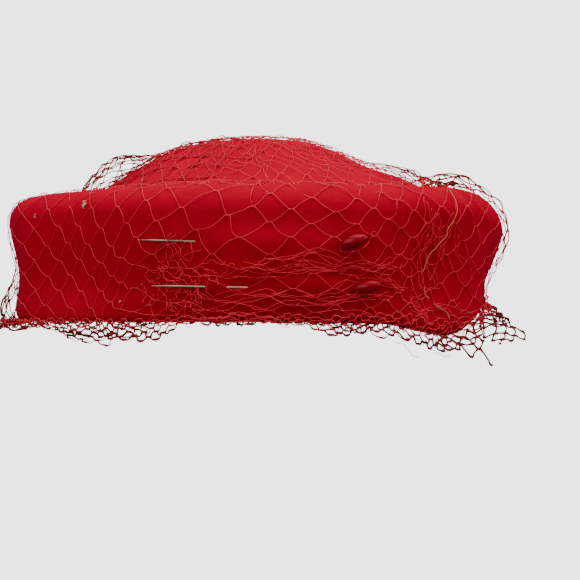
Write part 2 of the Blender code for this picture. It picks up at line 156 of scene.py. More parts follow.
# Soft hollows and swells of the wall: degrees, shares of the wall's height, rise in felt thicknesses
DENT_ROWS = table(
    "name azimuth half_angle height half_height rise",
    ("near_right_flute", -51.0, 17.0, 0.42, 0.55, -1.35),
    ("near_right_swell", -29.0, 20.0, 0.12, 0.45, 1.10),
    ("near_left_hollow", -122.0, 24.0, 0.30, 0.45, -0.80),
    ("left_pinch", -166.0, 20.0, 0.40, 0.35, -0.90),
    ("far_right_flute", 54.0, 18.0, 0.45, 0.55, -0.90),
    ("far_left_hollow", 128.0, 26.0, 0.50, 0.50, -0.90),
)

# Swells and puckers round the pins, in millimetres along the near wall: middle, half sizes and rise
PUCKER_ROWS = table(
    "name x z half_x half_z rise",
    ("welt_over_upper_pin", 8.0, 30.4, 32.0, 8.0, 1.2),
    ("upper_pin_enters", 31.5, 29.2, 7.0, 5.0, 1.0),
    ("welt_over_lower_pin", 25.0, 13.4, 23.0, 7.5, 1.6),
    ("lower_pin_enters", 36.5, 12.8, 7.0, 5.0, 1.1),
    ("stitch_over_lower_pin", -11.7, 13.4, 6.2, 5.0, 2.3),
    ("upper_pin_leaves", -20.5, 31.0, 3.5, 3.0, -0.9),
    ("lower_pin_shows", -2.6, 13.4, 4.8, 3.4, -1.5),
)

# Hat pins
PIN_HEAD_LENGTH = 0.0130
PIN_HEAD_DIAMETER = 0.0054
PIN_HEAD_LEAN = math.radians(14.0)
PIN_COLLAR = 0.0008

# A pin's turned head: its share of the solid head's length, its powers of lean and fullness, and its steps
BEAD_SHARE = 0.93
BEAD_LEAN = 1.2
BEAD_FULLNESS = 0.62
BEAD_SIDES = 40
BEAD_RINGS = 36

# The pins, and how far their heads are tilted in degrees
PIN_ROWS = table("name head_tilt", ("upper", 16.0), ("lower", 9.0))

# Net lattice: columns count half cells round the hat, rows count half cells down it
NET_COLUMNS = 80
NEAR_FIRST_COLUMN = -2
NEAR_LAST_COLUMN = 31
NET_TOP_ROW = -20
NET_WALL_ROW = -6
NET_LAST_ROW = 9

# Where the near side's columns lie, in millimetres: x across the hat at the height that they lean from, the
# lean to the right over its span, the rows' pitch over row 0, and the heights of rows 0, 3, 4 and the last
NET_NEAR_COLUMNS = table(
    "column x lean pitch row_0 row_3 row_4 row_last",
    (-2, -98.0, 2.0, 6.4, 25.0, 7.0, 2.0, -4.0),
    (1, -79.5, 4.0, 6.5, 24.4, 6.0, 0.5, -3.5),
    (3, -69.5, 5.0, 6.5, 24.2, 5.0, -0.5, -6.0),
    (5, -60.4, 6.0, 6.5, 24.3, 5.0, -0.5, -7.5),
    (7, -51.5, 6.0, 6.6, 24.3, 7.0, 2.0, -9.0),
    (9, -42.0, 6.5, 6.3, 26.8, 12.0, 6.0, -5.0),
    (10, -34.0, 4.5, 6.2, 26.0, 14.0, 8.0, -2.0),
    (11, -26.0, 5.0, 6.4, 23.5, 15.5, 9.5, 0.6),
    (12, -19.0, 6.5, 6.8, 21.5, 16.0, 10.5, 0.6),
    (13, -11.0, 6.5, 6.4, 20.5, 16.0, 11.0, 0.8),
    (14, -2.0, 2.5, 5.2, 21.5, 16.5, 11.5, 0.8),
    (15, 9.7, 0.0, 5.5, 20.5, 17.0, 12.0, 0.8),
    (17, 26.0, -1.0, 5.2, 21.0, 17.5, 12.5, 0.8),
    (19, 41.8, -1.5, 4.9, 22.0, 18.0, 12.5, -3.0),
    (21, 54.0, -3.0, 5.0, 24.5, 18.0, 11.0, -6.0),
    (23, 64.5, -2.0, 5.6, 27.0, 16.0, 9.0, -6.0),
    (25, 74.0, -1.0, 6.0, 27.0, 12.0, 6.0, -6.0),
    (27, 83.6, 0.0, 6.4, 26.0, 9.0, 4.0, -5.0),
    (29, 92.0, 0.0, 6.4, 25.5, 9.0, 5.0, -1.0),
    (31, 100.0, 0.0, 6.4, 25.5, 10.0, 6.0, 1.0),
)
LEAN_FROM = 0.030
LEAN_SPAN = 0.020
RELAXED_FROM = -5.0
RELAXED_OVER = 4.0
RELAXED_ROW_0 = 0.0235
RELAXED_PITCH = 0.0060
NET_FAR_COLUMN = NET_NEAR_COLUMNS[0]._replace(
    lean=0.0, pitch=6.4, row_0=25.0, row_3=7.5, row_4=2.0, row_last=-5.0
)

# How far the net lies off the felt where nothing lifts it, and its unevenness: off the felt and down the hat
# in metres, and round the hat in half cells
NET_LIE = 0.0008
LIE_RIPPLE = 0.0004
ROW_RIPPLE = 0.0009
COLUMN_RIPPLE = 0.13

# Its shallow folds below the felt's edge: their depth, and how far down they are at their full depth
FOLD_DEPTH = 0.0016
FOLD_FULL = 0.003

# Its thickness, as a share of a strand's: less where both families are drawn in low on the near wall and over
# the dome, and less again for the rising one on the near left. Columns and rows count half cells.
DRAWN_COLUMN = 15.0
DRAWN_REACH = 8.0
DRAWN_ROWS = 2.0
THINNED_ROW = -8.0
THINNED_OVER = 3.0
DRAWN_THINNING = 0.30
RISING_WEIGHT = 0.88
RISING_COLUMN = 4.0
RISING_REACH = 8.0
RISING_THINNING = 0.38

# A strand from knot to knot: its points as shares of the way, how far along the knots' twist they are pulled,
# how full the knots are at them, its sides, its sag with the spread of it, and its other bends
STRAND_SHARES = np.array([0.0, 0.0, 0.28, 0.5, 0.72, 1.0, 1.0])
KNOT_EASING = np.array([0.0, 1.0, 0.5, 0.0, -0.5, -1.0, 0.0])
KNOT_FULLNESS = np.array([1.0, 0.8, 0.0, 0.0, 0.0, 0.8, 1.0])
STRAND_SIDES = 5
STRAND_SAG = 0.0003
SAG_SPREAD = 0.0005
STRAND_BEND = 0.00028

# A knot: how level it lies, the most of a strand that it takes, and its fullness on the felt and more off it
KNOT_SLOPE = 0.25
KNOT_MOST = 0.22
KNOT_SWELLING = 0.35
FREE_KNOT_SWELLING = 0.25

# The stand-off from which a strand counts as free, and the way from there to wholly free. How free a strand
# is swells it and paints it in the darker free colour, a painted shade.
FREE_FROM = 0.0016
FREE_OVER = 0.004

# The veil's way off the felt: how much of straight up is added to it round a station, and where it is level
UPTURN = 5.0
UPTURN_STATION = 2.9
UPTURN_REACH = 1.2
LEVEL_STATION = 0.15

# A wandering line's waves along its length, each with its weight
WANDER_WAVES = ((1.0, 1.0), (2.3, 0.7), (4.9, 0.45), (9.1, 0.28))

# A ripple's waves: how many, their highest rate and phase in radians, and what their sum is divided by
RIPPLE_WAVES = 7
RIPPLE_RATE = 1.1
RIPPLE_PHASES = 6.28
RIPPLE_TOTAL = 2.6

# Where the veil stands off the felt: degrees, stations, millimetres outwards
PUFF_ROWS = table(
    "name azimuth half_angle station half_below half_above rise",
    ("left_puff", 180.0, 66.0, 3.16, 0.34, 0.38, 10.8),
    ("right_bubble", 0.0, 70.0, 2.85, 1.80, 0.78, 6.6),
    ("right_side", -2.0, 44.0, 0.95, 1.05, 1.05, 2.4),
    ("right_near_corner", -34.0, 26.0, 1.90, 0.90, 0.90, 3.0),
    ("left_low", 178.0, 50.0, 0.05, 0.60, 0.60, 7.0),
    ("far_rim", 82.0, 74.0, 2.50, 1.20, 1.00, 6.0),
    ("near_rim", -98.0, 60.0, 2.60, 0.85, 0.60, 1.6),
)

# How far the hanging edge spreads outwards, in millimetres for each millimetre that it hangs
SPREAD_ROWS = table(
    "azimuth spread",
    (-180.0, 0.5),
    (-120.0, 0.3),
    (-90.0, 0.2),
    (-55.0, 0.3),
    (-30.0, 0.7),
    (-12.0, 1.35),
    (15.0, 0.8),
    (60.0, 0.4),
    (120.0, 0.4),
)

# How far the gathered fold of net at the felt's edge hangs under it and climbs over it, in millimetres
HANG_ROWS = table(
    "azimuth depth climb",
    (-180.0, 2.5, 2.0),
    (-142.0, 2.0, 1.5),
    (-124.0, 4.5, 1.5),
    (-107.0, 5.5, 2.0),
    (-99.0, 0.5, 2.5),
    (-82.0, 0.3, 3.0),
    (-74.0, 4.5, 3.5),
    (-60.0, 6.5, 4.0),
    (-40.0, 5.5, 4.5),
    (-20.0, 2.5, 1.5),
    (8.0, 3.5, 1.5),
    (48.0, 7.0, 4.0),
    (120.0, 6.0, 4.0),
)
HEM_COLUMNS = 204
HEM_ROWS = 6
HEM_WEIGHT = 1.20

# How far that fold lies off the felt, the most by which it is uneven there, its gathers in and out, how far
# down they are at their full depth, and its stand-off at the felt's edge for how free it is
HEM_LIE = 0.0009
HEM_LIE_RIPPLE = 0.0012
HEM_GATHER = 0.0022
HEM_GATHER_FULL = 0.002
HEM_FREE = 0.002

# The net's second layer over the dome: its cells, its turn in degrees and how many half cells it may reach
CROWN_CELL_LENGTH = 0.0150
CROWN_CELL_WIDTH = 0.0110
CROWN_TURN = 17.0
CROWN_REACH = 26
CROWN_WEIGHT = 0.72

# How far it lies off the felt, its unevenness off and along it, and the stand-off that is added for how free
# it counts, from none at an x to all of it a way further left. That added share swells the strands there and
# paints them in the darker free colour as painted shade.
CROWN_GAP = 0.0014
CROWN_GAP_RIPPLE = 0.0006
CROWN_RIPPLE = 0.0016
CROWN_SHADE_AND_SWELL = 0.0038
CROWN_SHADE_AND_SWELL_X = 0.030
CROWN_SHADE_AND_SWELL_OVER = 0.050

# Its edge: a share of the dome's half sizes, and a front edge at y that slants with x as far as a reach
CROWN_EDGE = 0.93
CROWN_FRONT = -0.042
CROWN_SLANT = 0.35
CROWN_SLANT_REACH = 0.05

# Patches of net that stand free at the right end: half cells across and down, and corners in millimetres in
# order round the patch, the first two along its upper edge
FLAP_ROWS = table(
    "name columns rows corners",
    (
        "veil_right_flap", 7, 5,
        ((100.0, -24.0, 10.0), (121.0, -20.0, -8.0), (106.0, -36.0, -10.5), (91.0, -50.0, -5.0)),
    ),
    (
        "veil_right_tail", 5, 3,
        ((70.0, -76.0, -5.0), (95.0, -50.0, -4.0), (98.5, -54.0, -18.5), (76.0, -76.0, -10.5)),
    ),
)

# How far such a patch is bowed out in millimetres, how uneven its cells are, and the stand-off it counts as
FLAP_BOW = (1.0, -3.0, 1.5)
FLAP_RIPPLE = 0.18
FLAP_FREE = 0.0060

# The gathering thread over the net, millimetres across and up the near side
THREAD_POINTS = (
    (80.0, 52.5),
    (79.4, 47.0),
    (78.6, 41.0),
    (77.0, 37.0),
    (76.8, 34.2),
    (74.6, 30.0),
    (71.8, 25.5),
    (70.4, 19.5),
    (71.4, 13.5),
    (72.2, 10.5),
    (76.0, 6.6),
    (80.0, 3.4),
    (81.6, 1.2),
)

# The stretches of it that lie on top of the net, by point number
THREAD_RUNS = ((0.0, 7.0), (8.0, 9.4), (9.9, 12.0))
THREAD_STEPS = 60
THREAD_SIDES = 8
THREAD_LIFT = 0.0017
THREAD_SEED_X = 50
THREAD_SEED_Z = 60
THREAD_WANDER_X = 0.00022
THREAD_WANDER_Z = 0.00018

# Loose strands drawn out of the net, in millimetres on the near wall: the middle and half sizes of the patch
# they start in, how many, how long, the heading in degrees with its spread either way, and the lowest height
LOOSE_COLUMNS = "name x z half_x half_z strands length heading spread floor"
LOOSE_ROWS = table(
    LOOSE_COLUMNS,
    ("left_tangle", -27.0, 19.0, 13.0, 6.5, 20, 20.0, -15.0, 80.0, -1.0),
    ("left_fall", -26.0, 12.0, 14.0, 4.0, 12, 11.0, -78.0, 30.0, -1.0),
    ("middle_run", 2.0, 21.5, 20.0, 3.5, 10, 40.0, -3.0, 7.0, -1.0),
    ("lower_run", -2.0, 8.0, 30.0, 4.5, 12, 42.0, -1.0, 7.0, -1.0),
    ("by_lower_head", 42.0, 17.0, 12.0, 4.0, 8, 18.0, 5.0, 30.0, -1.0),
    ("right_fall", 75.0, 42.0, 8.0, 8.0, 14, 26.0, -82.0, 18.0, -1.0),
    ("right_foot", 70.0, 8.0, 14.0, 4.0, 12, 16.0, -15.0, 35.0, -1.0),
    ("free_end", 72.0, -6.0, 12.0, 2.0, 7, 12.0, -14.0, 20.0, -14.0),
)
LOOSE_WEIGHT = 0.9
LOOSE_STEPS = 26
LOOSE_SEED = 31
HEADING_SEED = 40
GAP_SEED = 90
LOOSE_LIFT = 0.0012
LEAST_GAP = 0.0001

# Loops of strand by the pins' heads, in millimetres and degrees: middle, half sizes, tilt, start, sweep, lift
LOOP_ROWS = table(
    "name x z half_x half_z tilt start sweep lift",
    ("under_upper_head", 41.0, 30.0, 5.9, 2.5, 17.0, 150.0, 200.0, 2.2),
    ("ring_by_upper_head", 48.1, 33.7, 1.1, 1.0, 0.0, 0.0, 350.0, 1.2),
    ("under_lower_head", 44.3, 10.6, 2.2, 2.1, 0.0, -20.0, 220.0, 2.6),
)
LOOP_SEAT = 0.4

# Pale lint caught on the felt, measured as the loose strands are
LINT_ROWS = table(
    LOOSE_COLUMNS,
    ("lint_left_high", -61.5, 45.0, 0.7, 1.3, 22, 1.6, 80.0, 180.0, 0.0),
    ("lint_far_left", -83.0, 41.8, 0.4, 0.7, 8, 1.0, 0.0, 180.0, 0.0),
    ("lint_left_low", -49.4, 7.8, 0.2, 0.3, 6, 0.8, 0.0, 180.0, 0.0),
)
LINT_RADIUS = 0.00012
LINT_STEPS = 8
LINT_LIFT = 0.0005

# Painted shade: the felt's colour darkened in a patch low on the near wall, standing in for the shade of the
# net and the folds there; in millimetres on the near wall: middle, half sizes and darkness
PAINTED_SHADE_X = 14.0
PAINTED_SHADE_Z = 2.0
PAINTED_SHADE_HALF_X = 96.0
PAINTED_SHADE_HALF_Z = 36.0
PAINTED_SHADE_DARKNESS = 0.85

# The studio: the paper's form, how brightly the camera sees it and the room glow, and the camera's sensor
FLOOR_DROP = 0.16
SWEEP_HALF_WIDTH = 2.2
SWEEP_FRONT = -1.6
SWEEP_BEND = 0.9
SWEEP_RADIUS = 0.5
SWEEP_TOP = 2.2
PAPER_GLOW = 3.2
AIR_GLOW = 3.4
SENSOR_WIDTH = 36.0

# Soft square lights: place, aim and size in metres, and power as a share of the overhead light's
LIGHT_ROWS = table(
    "name place aim size share",
    ("overhead", (0.05, -0.10, 0.85), (0.0, 0.0, 0.03), 1.1, 1.0),
    ("front_fill", (-0.85, -1.05, 0.35), (-0.02, 0.0, 0.03), 0.9, 0.62),
    ("side_fill", (1.1, -0.55, 0.30), (0.05, 0.0, 0.02), 0.7, 0.40),
    ("sparkle", (0.22, -0.60, 0.75), (0.04, -0.09, 0.02), 0.06, 0.12),
)


# Shapes of the felt


def swell(distance):
    """1 in the middle, falling as a squared cosine to 0 at a distance of 1 and beyond."""
    return np.cos(np.clip(np.abs(distance), 0.0, 1.0) * math.pi / 2.0) ** 2


def smooth_step(share):
    """From 0 to 1 with level ends: 3 share^2 - 2 share^3."""
    return share * share * (3.0 - 2.0 * share)


def turn_from(middle, azimuth):
    """The turn in degrees from a middle azimuth, between -180 and 180."""
    return (azimuth - middle + 180.0) % 360.0 - 180.0


def column_of(rows, name):
    return np.array([getattr(row, name) for row in rows], dtype=float)


def smooth_through(places, known, values):
    """A smooth curve through a table: cubic Hermite pieces, with central differences as their slopes."""
    slopes = np.gradient(values, known)
    index = np.clip(np.searchsorted(known, places) - 1, 0, len(known) - 2)
    span = known[index + 1] - known[index]
    share = np.clip((places - known[index]) / span, 0.0, 1.0)
    rising = smooth_step(share)
    return (
        values[index] * (1.0 - rising)
        + values[index + 1] * rising
        + slopes[index] * span * share * (1.0 - share) ** 2
        - slopes[index + 1] * span * share**2 * (1.0 - share)
    )


def round_the_hat(rows, azimuth, name):
    """A side table's column at azimuths in degrees, eased with a smooth step from row to row."""
    known = column_of(rows, "azimuth")
    values = column_of(rows, name)
    known = np.append(known, known[0] + 360.0)
    values = np.append(values, values[0])
    place = (azimuth - known[0]) % 360.0 + known[0]
    index = np.clip(np.searchsorted(known, place, side="right") - 1, 0, len(known) - 2)
    share = (place - known[index]) / (known[index + 1] - known[index])
    return values[index] + (values[index + 1] - values[index]) * smooth_step(share)


def oval(azimuth, half_length, half_width, squareness):
    """A superellipse: each axis is its half size times the cosine or sine to the power 2 / squareness."""
    cosine, sine = np.cos(np.radians(azimuth)), np.sin(np.radians(azimuth))
    power = 2.0 / squareness
    return (
        np.sign(cosine) * np.abs(cosine) ** power * half_length,
        np.sign(sine) * np.abs(sine) ** power * half_width,
    )


def wall_outline(azimuth, flare, inset):
    out = WALL_FLARE * round_the_hat(SIDE_ROWS, azimuth, "flare") * flare - inset
    return oval(azimuth, BASE_LENGTH / 2.0 + out, BASE_WIDTH / 2.0 + out, WALL_SQUARENESS)


def along_outline(azimuth, flare):
    """The length of the wall's outline from the first of many azimuths to each of them."""
    outline = np.stack(wall_outline(azimuth, flare, 0.0), axis=-1)
    return np.concatenate([[0.0], np.cumsum(np.linalg.norm(np.diff(outline, axis=0), axis=1))])


def outward(azimuth):
    """The level direction that the wall faces, square to the outline between half a degree either side."""
    ahead = wall_outline(azimuth + 0.5, 0.5, 0.0)
    behind = wall_outline(azimuth - 0.5, 0.5, 0.0)
    along_x, along_y = ahead[0] - behind[0], ahead[1] - behind[1]
    length = np.hypot(along_x, along_y)
    return along_y / length, -along_x / length


def hem_height(azimuth):
    return -HEM_DIP * round_the_hat(EDGE_ROWS, azimuth, "dip")


def rim_height(azimuth):
    return WALL_HEIGHT - RIM_DIP * round_the_hat(SIDE_ROWS, azimuth, "rim_dip")


def shoulder_radius(azimuth):
    return SHOULDER_RADIUS * round_the_hat(SIDE_ROWS, azimuth, "shoulder")


def dents(azimuth, height):
    """The sum of the dent table: each row a squared cosine across and up the wall."""
    rise = np.zeros_like(height)
    for row in DENT_ROWS:
        turn = turn_from(row.azimuth, azimuth)
        level = height / WALL_HEIGHT - row.height
        rise += row.rise * FELT_THICKNESS * swell(turn / row.half_angle) * swell(level / row.half_height)
    return rise


def puckers(across, height, facing):
    """The sum of the pucker table on the near side, each row a round squared cosine."""
    rise = np.zeros_like(height)
    for row in PUCKER_ROWS:
        away = np.hypot((across * 1000.0 - row.x) / row.half_x, (height * 1000.0 - row.z) / row.half_z)
        rise += row.rise / 1000.0 * swell(away)
    return rise * (facing < 0.0)


def felt_point(azimuth, station):
    """The felt's outer surface.

    Stations 0 to 1 climb the wall table, 1 to 2 turn a quarter circle over the shoulder, 2 to 3 run level to
    the dome's foot, and 3 to 4 climb the dome table to its top.
    """
    azimuth, station = np.broadcast_arrays(np.asarray(azimuth, float), np.asarray(station, float))
    radius = shoulder_radius(azimuth)
    rim = rim_height(azimuth)
    out_x, out_y = outward(azimuth)

    share = np.clip(station, 0.0, 1.0)
    flare = smooth_through(share, column_of(WALL_ROWS, "height"), column_of(WALL_ROWS, "flare"))
    tuck = smooth_through(share, column_of(WALL_ROWS, "height"), column_of(WALL_ROWS, "tuck"))
    turn = np.clip(station - 1.0, 0.0, 1.0) * math.pi / 2.0
    inset = tuck * HEM_TUCK + radius * (1.0 - np.cos(turn))
    x, y = wall_outline(azimuth, flare, inset)
    low = hem_height(azimuth)
    z = low + (rim - radius - low) * share + radius * np.sin(turn)
    push = (dents(azimuth, z) + puckers(x, z, y)) * (1.0 - np.sin(turn))
    x, y = x + out_x * push, y + out_y * push

    climb = np.clip(station - 3.0, 0.0, 1.0)
    known = 1.0 - column_of(DOME_ROWS, "reach")
    rise = smooth_through(climb, known, column_of(DOME_ROWS, "rise"))
    shift = smooth_through(climb, known, column_of(DOME_ROWS, "shift"))
    half_length = BASE_LENGTH / 2.0 - DOME_END_SETBACK
    half_width = BASE_WIDTH / 2.0 - DOME_SIDE_SETBACK
    dome_x, dome_y = oval(azimuth, half_length, half_width, DOME_SQUARENESS)
    dome_x = dome_x * (1.0 - climb) + DOME_SHIFT + half_length * shift
    dome_y = dome_y * (1.0 - climb)
    valley = WALL_HEIGHT - VALLEY_DEPTH
    dome_z = valley + (CROWN_HEIGHT - valley) * rise

    level = np.clip(station - 2.0, 0.0, 1.0)
    eased = smooth_step(level)
    on_dome = station >= 3.0
    x = np.where(on_dome, dome_x, x + (dome_x - x) * level)
    y = np.where(on_dome, dome_y, y + (dome_y - y) * level)
    z = np.where(on_dome, dome_z, z + (dome_z - z) * eased)
    return np.stack([x, y, z], axis=-1)


def felt_normal(azimuth, station):
    """The felt's outward direction: the cross product of small steps round and up the surface."""
    station = np.clip(station, CLIMB_STEP, TOP_STATION - TOP_MARGIN)
    across = felt_point(azimuth + TURN_STEP, station) - felt_point(azimuth - TURN_STEP, station)
    up = felt_point(azimuth, station + CLIMB_STEP) - felt_point(azimuth, station - CLIMB_STEP)
    normal = np.cross(across, up)
    return normal / np.linalg.norm(normal, axis=-1, keepdims=True)


def station_at(azimuth, travel):
    """The station that lies a travel in metres up the felt from its edge, by each stretch's own length."""
    radius = shoulder_radius(azimuth)
    wall = rim_height(azimuth) - radius - hem_height(azimuth)
    shoulder = radius * math.pi / 2.0
    top = felt_point(azimuth, 2.0)
    foot = felt_point(azimuth, 3.0)
    level = np.linalg.norm(foot - top, axis=-1) + 1e-6
    dome = np.linalg.norm(foot - felt_point(azimuth, TOP_STATION), axis=-1) * DOME_ARC
    after_wall = travel - wall
    after_shoulder = after_wall - shoulder
    after_level = after_shoulder - level
    return (
        np.clip(travel / wall, 0.0, 1.0)
        + np.clip(after_wall / shoulder, 0.0, 1.0)
        + np.clip(after_shoulder / level, 0.0, 1.0)
        + np.clip(after_level / dome, 0.0, 1.0)
    )


def near_azimuth(x):
    """The azimuth on the pins' side whose outline point is at x: the superellipse turned round."""
    reach = BASE_LENGTH / 2.0 + WALL_FLARE / 2.0
    cosine = np.sign(x) * np.abs(np.clip(x / reach, -1.0, 1.0)) ** (WALL_SQUARENESS / 2.0)
    return -np.degrees(np.arccos(cosine))


def on_near_wall(x, z, gap):
    """Points over the near wall at x and z, a gap off the felt, hanging plumb where z is below its edge."""
    azimuth = near_azimuth(x)
    low = hem_height(azimuth)
    station = station_at(azimuth, np.maximum(z - low, 0.0))
    points = felt_point(azimuth, station) + felt_normal(azimuth, station) * np.expand_dims(gap, -1)
    points[..., 2] += np.minimum(z - low, 0.0)
    return points


# Shapes of the veil


def wander(seed, count, length, size):
    """Smooth noise for count strands: a few sine waves of random phase, scaled to size."""
    rng = np.random.default_rng(seed)
    places = np.linspace(0.0, 1.0, length)
    total = np.zeros((count, length))
    for waves, weight in WANDER_WAVES:
        phase = rng.uniform(0.0, 2.0 * math.pi, (count, 1))
        rate = waves * rng.uniform(0.75, 1.3, (count, 1))
        total += weight * np.sin(2.0 * math.pi * rate * places + phase)
    return total * size


def ripple(a, b, seed):
    """Gentle noise over two lattice directions, the same for equal arguments, between about -1 and 1."""
    rng = np.random.default_rng(seed)
    total = np.zeros(np.broadcast(a, b).shape)
    for _ in range(RIPPLE_WAVES):
        turns = rng.uniform(-1.0, 1.0, 2) * RIPPLE_RATE
        total += np.sin(turns[0] * a + turns[1] * b + rng.uniform(0.0, RIPPLE_PHASES)) / RIPPLE_TOTAL
    return total


def net_column_azimuth(column):
    """The azimuth of a net column, whole or not: the near table, then even steps round the back."""
    near = np.arange(NEAR_FIRST_COLUMN, NEAR_LAST_COLUMN + 1)
    x = smooth_through(
        near.astype(float), column_of(NET_NEAR_COLUMNS, "column"), column_of(NET_NEAR_COLUMNS, "x") / 1000.0
    )
    near_angles = near_azimuth(x)
    dense = np.linspace(near_angles[-1], near_angles[0] + 360.0, OUTLINE_POINTS)
    along = along_outline(dense, 0.5)
    far_count = NET_COLUMNS - len(near) + 1
    far = np.interp(np.linspace(0.0, along[-1], far_count + 1)[1:], along, dense)
    columns = np.arange(NEAR_FIRST_COLUMN, NEAR_FIRST_COLUMN + NET_COLUMNS + 1)
    angles = np.concatenate([near_angles, far])
    turns, rest = np.divmod(column - NEAR_FIRST_COLUMN, NET_COLUMNS)
    return np.interp(rest + NEAR_FIRST_COLUMN, columns, angles) + 360.0 * turns


def column_value(column, name):
    """A near-side table column at net columns, eased to the far column's value round the back."""
    known = column_of(NET_NEAR_COLUMNS, "column")
    values = column_of(NET_NEAR_COLUMNS, name) / 1000.0
    far_value = getattr(NET_FAR_COLUMN, name) / 1000.0
    place = (column - NEAR_FIRST_COLUMN) % NET_COLUMNS + NEAR_FIRST_COLUMN
    near = smooth_through(np.clip(place, known[0], known[-1]), known, values)
    turn_back = NEAR_FIRST_COLUMN + NET_COLUMNS
    share = np.clip(np.minimum(place - known[-1], turn_back - place) / 5.0, 0.0, 1.0)
    edge = np.where(place > (known[-1] + turn_back) / 2.0, values[0], values[-1])
    return np.where(place <= known[-1], near, edge + (far_value - edge) * share)


def veil_stand_off(azimuth, station):
    """How far the veil stands off the felt: the sum of the puff table."""
    off = np.zeros(np.broadcast(azimuth, station).shape)
    for row in PUFF_ROWS:
        turn = turn_from(row.azimuth, azimuth)
        above = station - row.station
        level = above / np.where(above > 0.0, row.half_above, row.half_below)
        off += row.rise / 1000.0 * swell(turn / row.half_angle) * swell(level)
    return off


def stand_off_way(azimuth, station):
    """The way the veil stands off: square to the felt, turned up round the dome's foot, level at its edge."""
    way = felt_normal(azimuth, station)
    way[..., 2] += UPTURN * swell((station - UPTURN_STATION) / UPTURN_REACH)
    way[..., 2] *= np.clip(station / LEVEL_STATION, 0.0, 1.0)
    return way / np.linalg.norm(way, axis=-1, keepdims=True)


def laid_over(azimuth, station, gap, hang, fold):
    """Net a gap off the felt: what hangs below its edge goes down, and out by the spread table and a fold."""
    points = felt_point(azimuth, station) + stand_off_way(azimuth, station) * np.expand_dims(gap, -1)
    spread = hang * round_the_hat(SPREAD_ROWS, azimuth, "spread") + fold
    out_x, out_y = outward(azimuth)
    return points + np.stack([out_x * spread, out_y * spread, -hang], axis=-1)


def veil_height(column, row):
    """A row's height: its column's pitch for each row over row 0, and straight runs between the known rows.

    Over the rim the rows ease to one relaxed pitch for every column.
    """
    relaxed = RELAXED_ROW_0 - RELAXED_PITCH * row
    first = column_value(column, "row_0")
    third = column_value(column, "row_3")
    fourth = column_value(column, "row_4")
    last = column_value(column, "row_last")
    drawn = (
        first
        - column_value(column, "pitch") * np.minimum(row, 0.0)
        + (third - first) * np.clip(row / 3.0, 0.0, 1.0)
        + (fourth - third) * np.clip(row - 3.0, 0.0, 1.0)
        + (last - fourth) * np.clip((row - 4.0) / (NET_LAST_ROW - 4.0), 0.0, 1.0)
    )
    return drawn + (relaxed - drawn) * np.clip((RELAXED_FROM - row) / RELAXED_OVER, 0.0, 1.0)


def veil_point(column, row):
    """The veil at lattice places, and how far it stands off the felt.

    A row's height over the felt's edge is its travel up the felt. What would lie under that edge hangs down
    plumb and spreads outwards in shallow folds.
    """
    height = veil_height(column, row) + ROW_RIPPLE * ripple(column, row, seed=3)
    azimuth = net_column_azimuth(column + COLUMN_RIPPLE * ripple(row, column, seed=5))
    over = (height - LEAN_FROM) / LEAN_SPAN
    lean = column_value(column, "lean") * np.clip(np.where(over > 0.0, over, over / 4.0), -0.5, 1.3)
    azimuth = azimuth + np.degrees(lean) / (BASE_LENGTH / 2.0)
    low = hem_height(azimuth)
    station = station_at(azimuth, np.maximum(height - low, 0.0))
    gap = NET_LIE + veil_stand_off(azimuth, station) + LIE_RIPPLE * ripple(column * 1.7, row * 1.3, seed=8)
    hang = np.maximum(low - height, 0.0)
    fold = FOLD_DEPTH * np.sin(1.9 * row + 0.7 * column) * np.clip(hang / FOLD_FULL, 0.0, 1.0)
    return laid_over(azimuth, station, gap, hang, fold), gap + hang


def hem_point(column, row):
    """The gathered fold at the felt's edge.

    Its columns are even steps round the outline. Its rows run from the hang table's climb over the felt's
    edge down to its depth under it, in and out by a sine of both lattice directions.
    """
    dense = np.linspace(-180.0, 180.0, HEM_OUTLINE_POINTS)
    along = along_outline(dense, 0.0)
    rest = (column + 0.35 * ripple(column * 0.8, row, seed=15)) % HEM_COLUMNS
    azimuth = np.interp(rest / HEM_COLUMNS * along[-1], along, dense)
    deeper = 1.0 + 0.25 * ripple(column * 0.4, row * 0.0, seed=16)
    higher = 1.0 + 0.35 * ripple(column * 0.3, row * 0.0, seed=17)
    depth = round_the_hat(HANG_ROWS, azimuth, "depth") * deeper
    climb = round_the_hat(HANG_ROWS, azimuth, "climb") * higher
    height = (climb - (climb + depth) * row / HEM_ROWS + 0.5 * ripple(column, row * 1.6, seed=18)) / 1000.0
    station = station_at(azimuth, np.maximum(height, 0.0))
    uneven = HEM_LIE_RIPPLE * np.abs(ripple(column * 0.9, row, seed=19))
    gap = HEM_LIE + uneven + veil_stand_off(azimuth, station)
    hang = np.maximum(-height, 0.0)
    fold = HEM_GATHER * np.sin(0.55 * column + 1.1 * row) * np.clip(hang / HEM_GATHER_FULL, 0.0, 1.0)
    return laid_over(azimuth, station, gap, hang, fold), HEM_FREE + hang


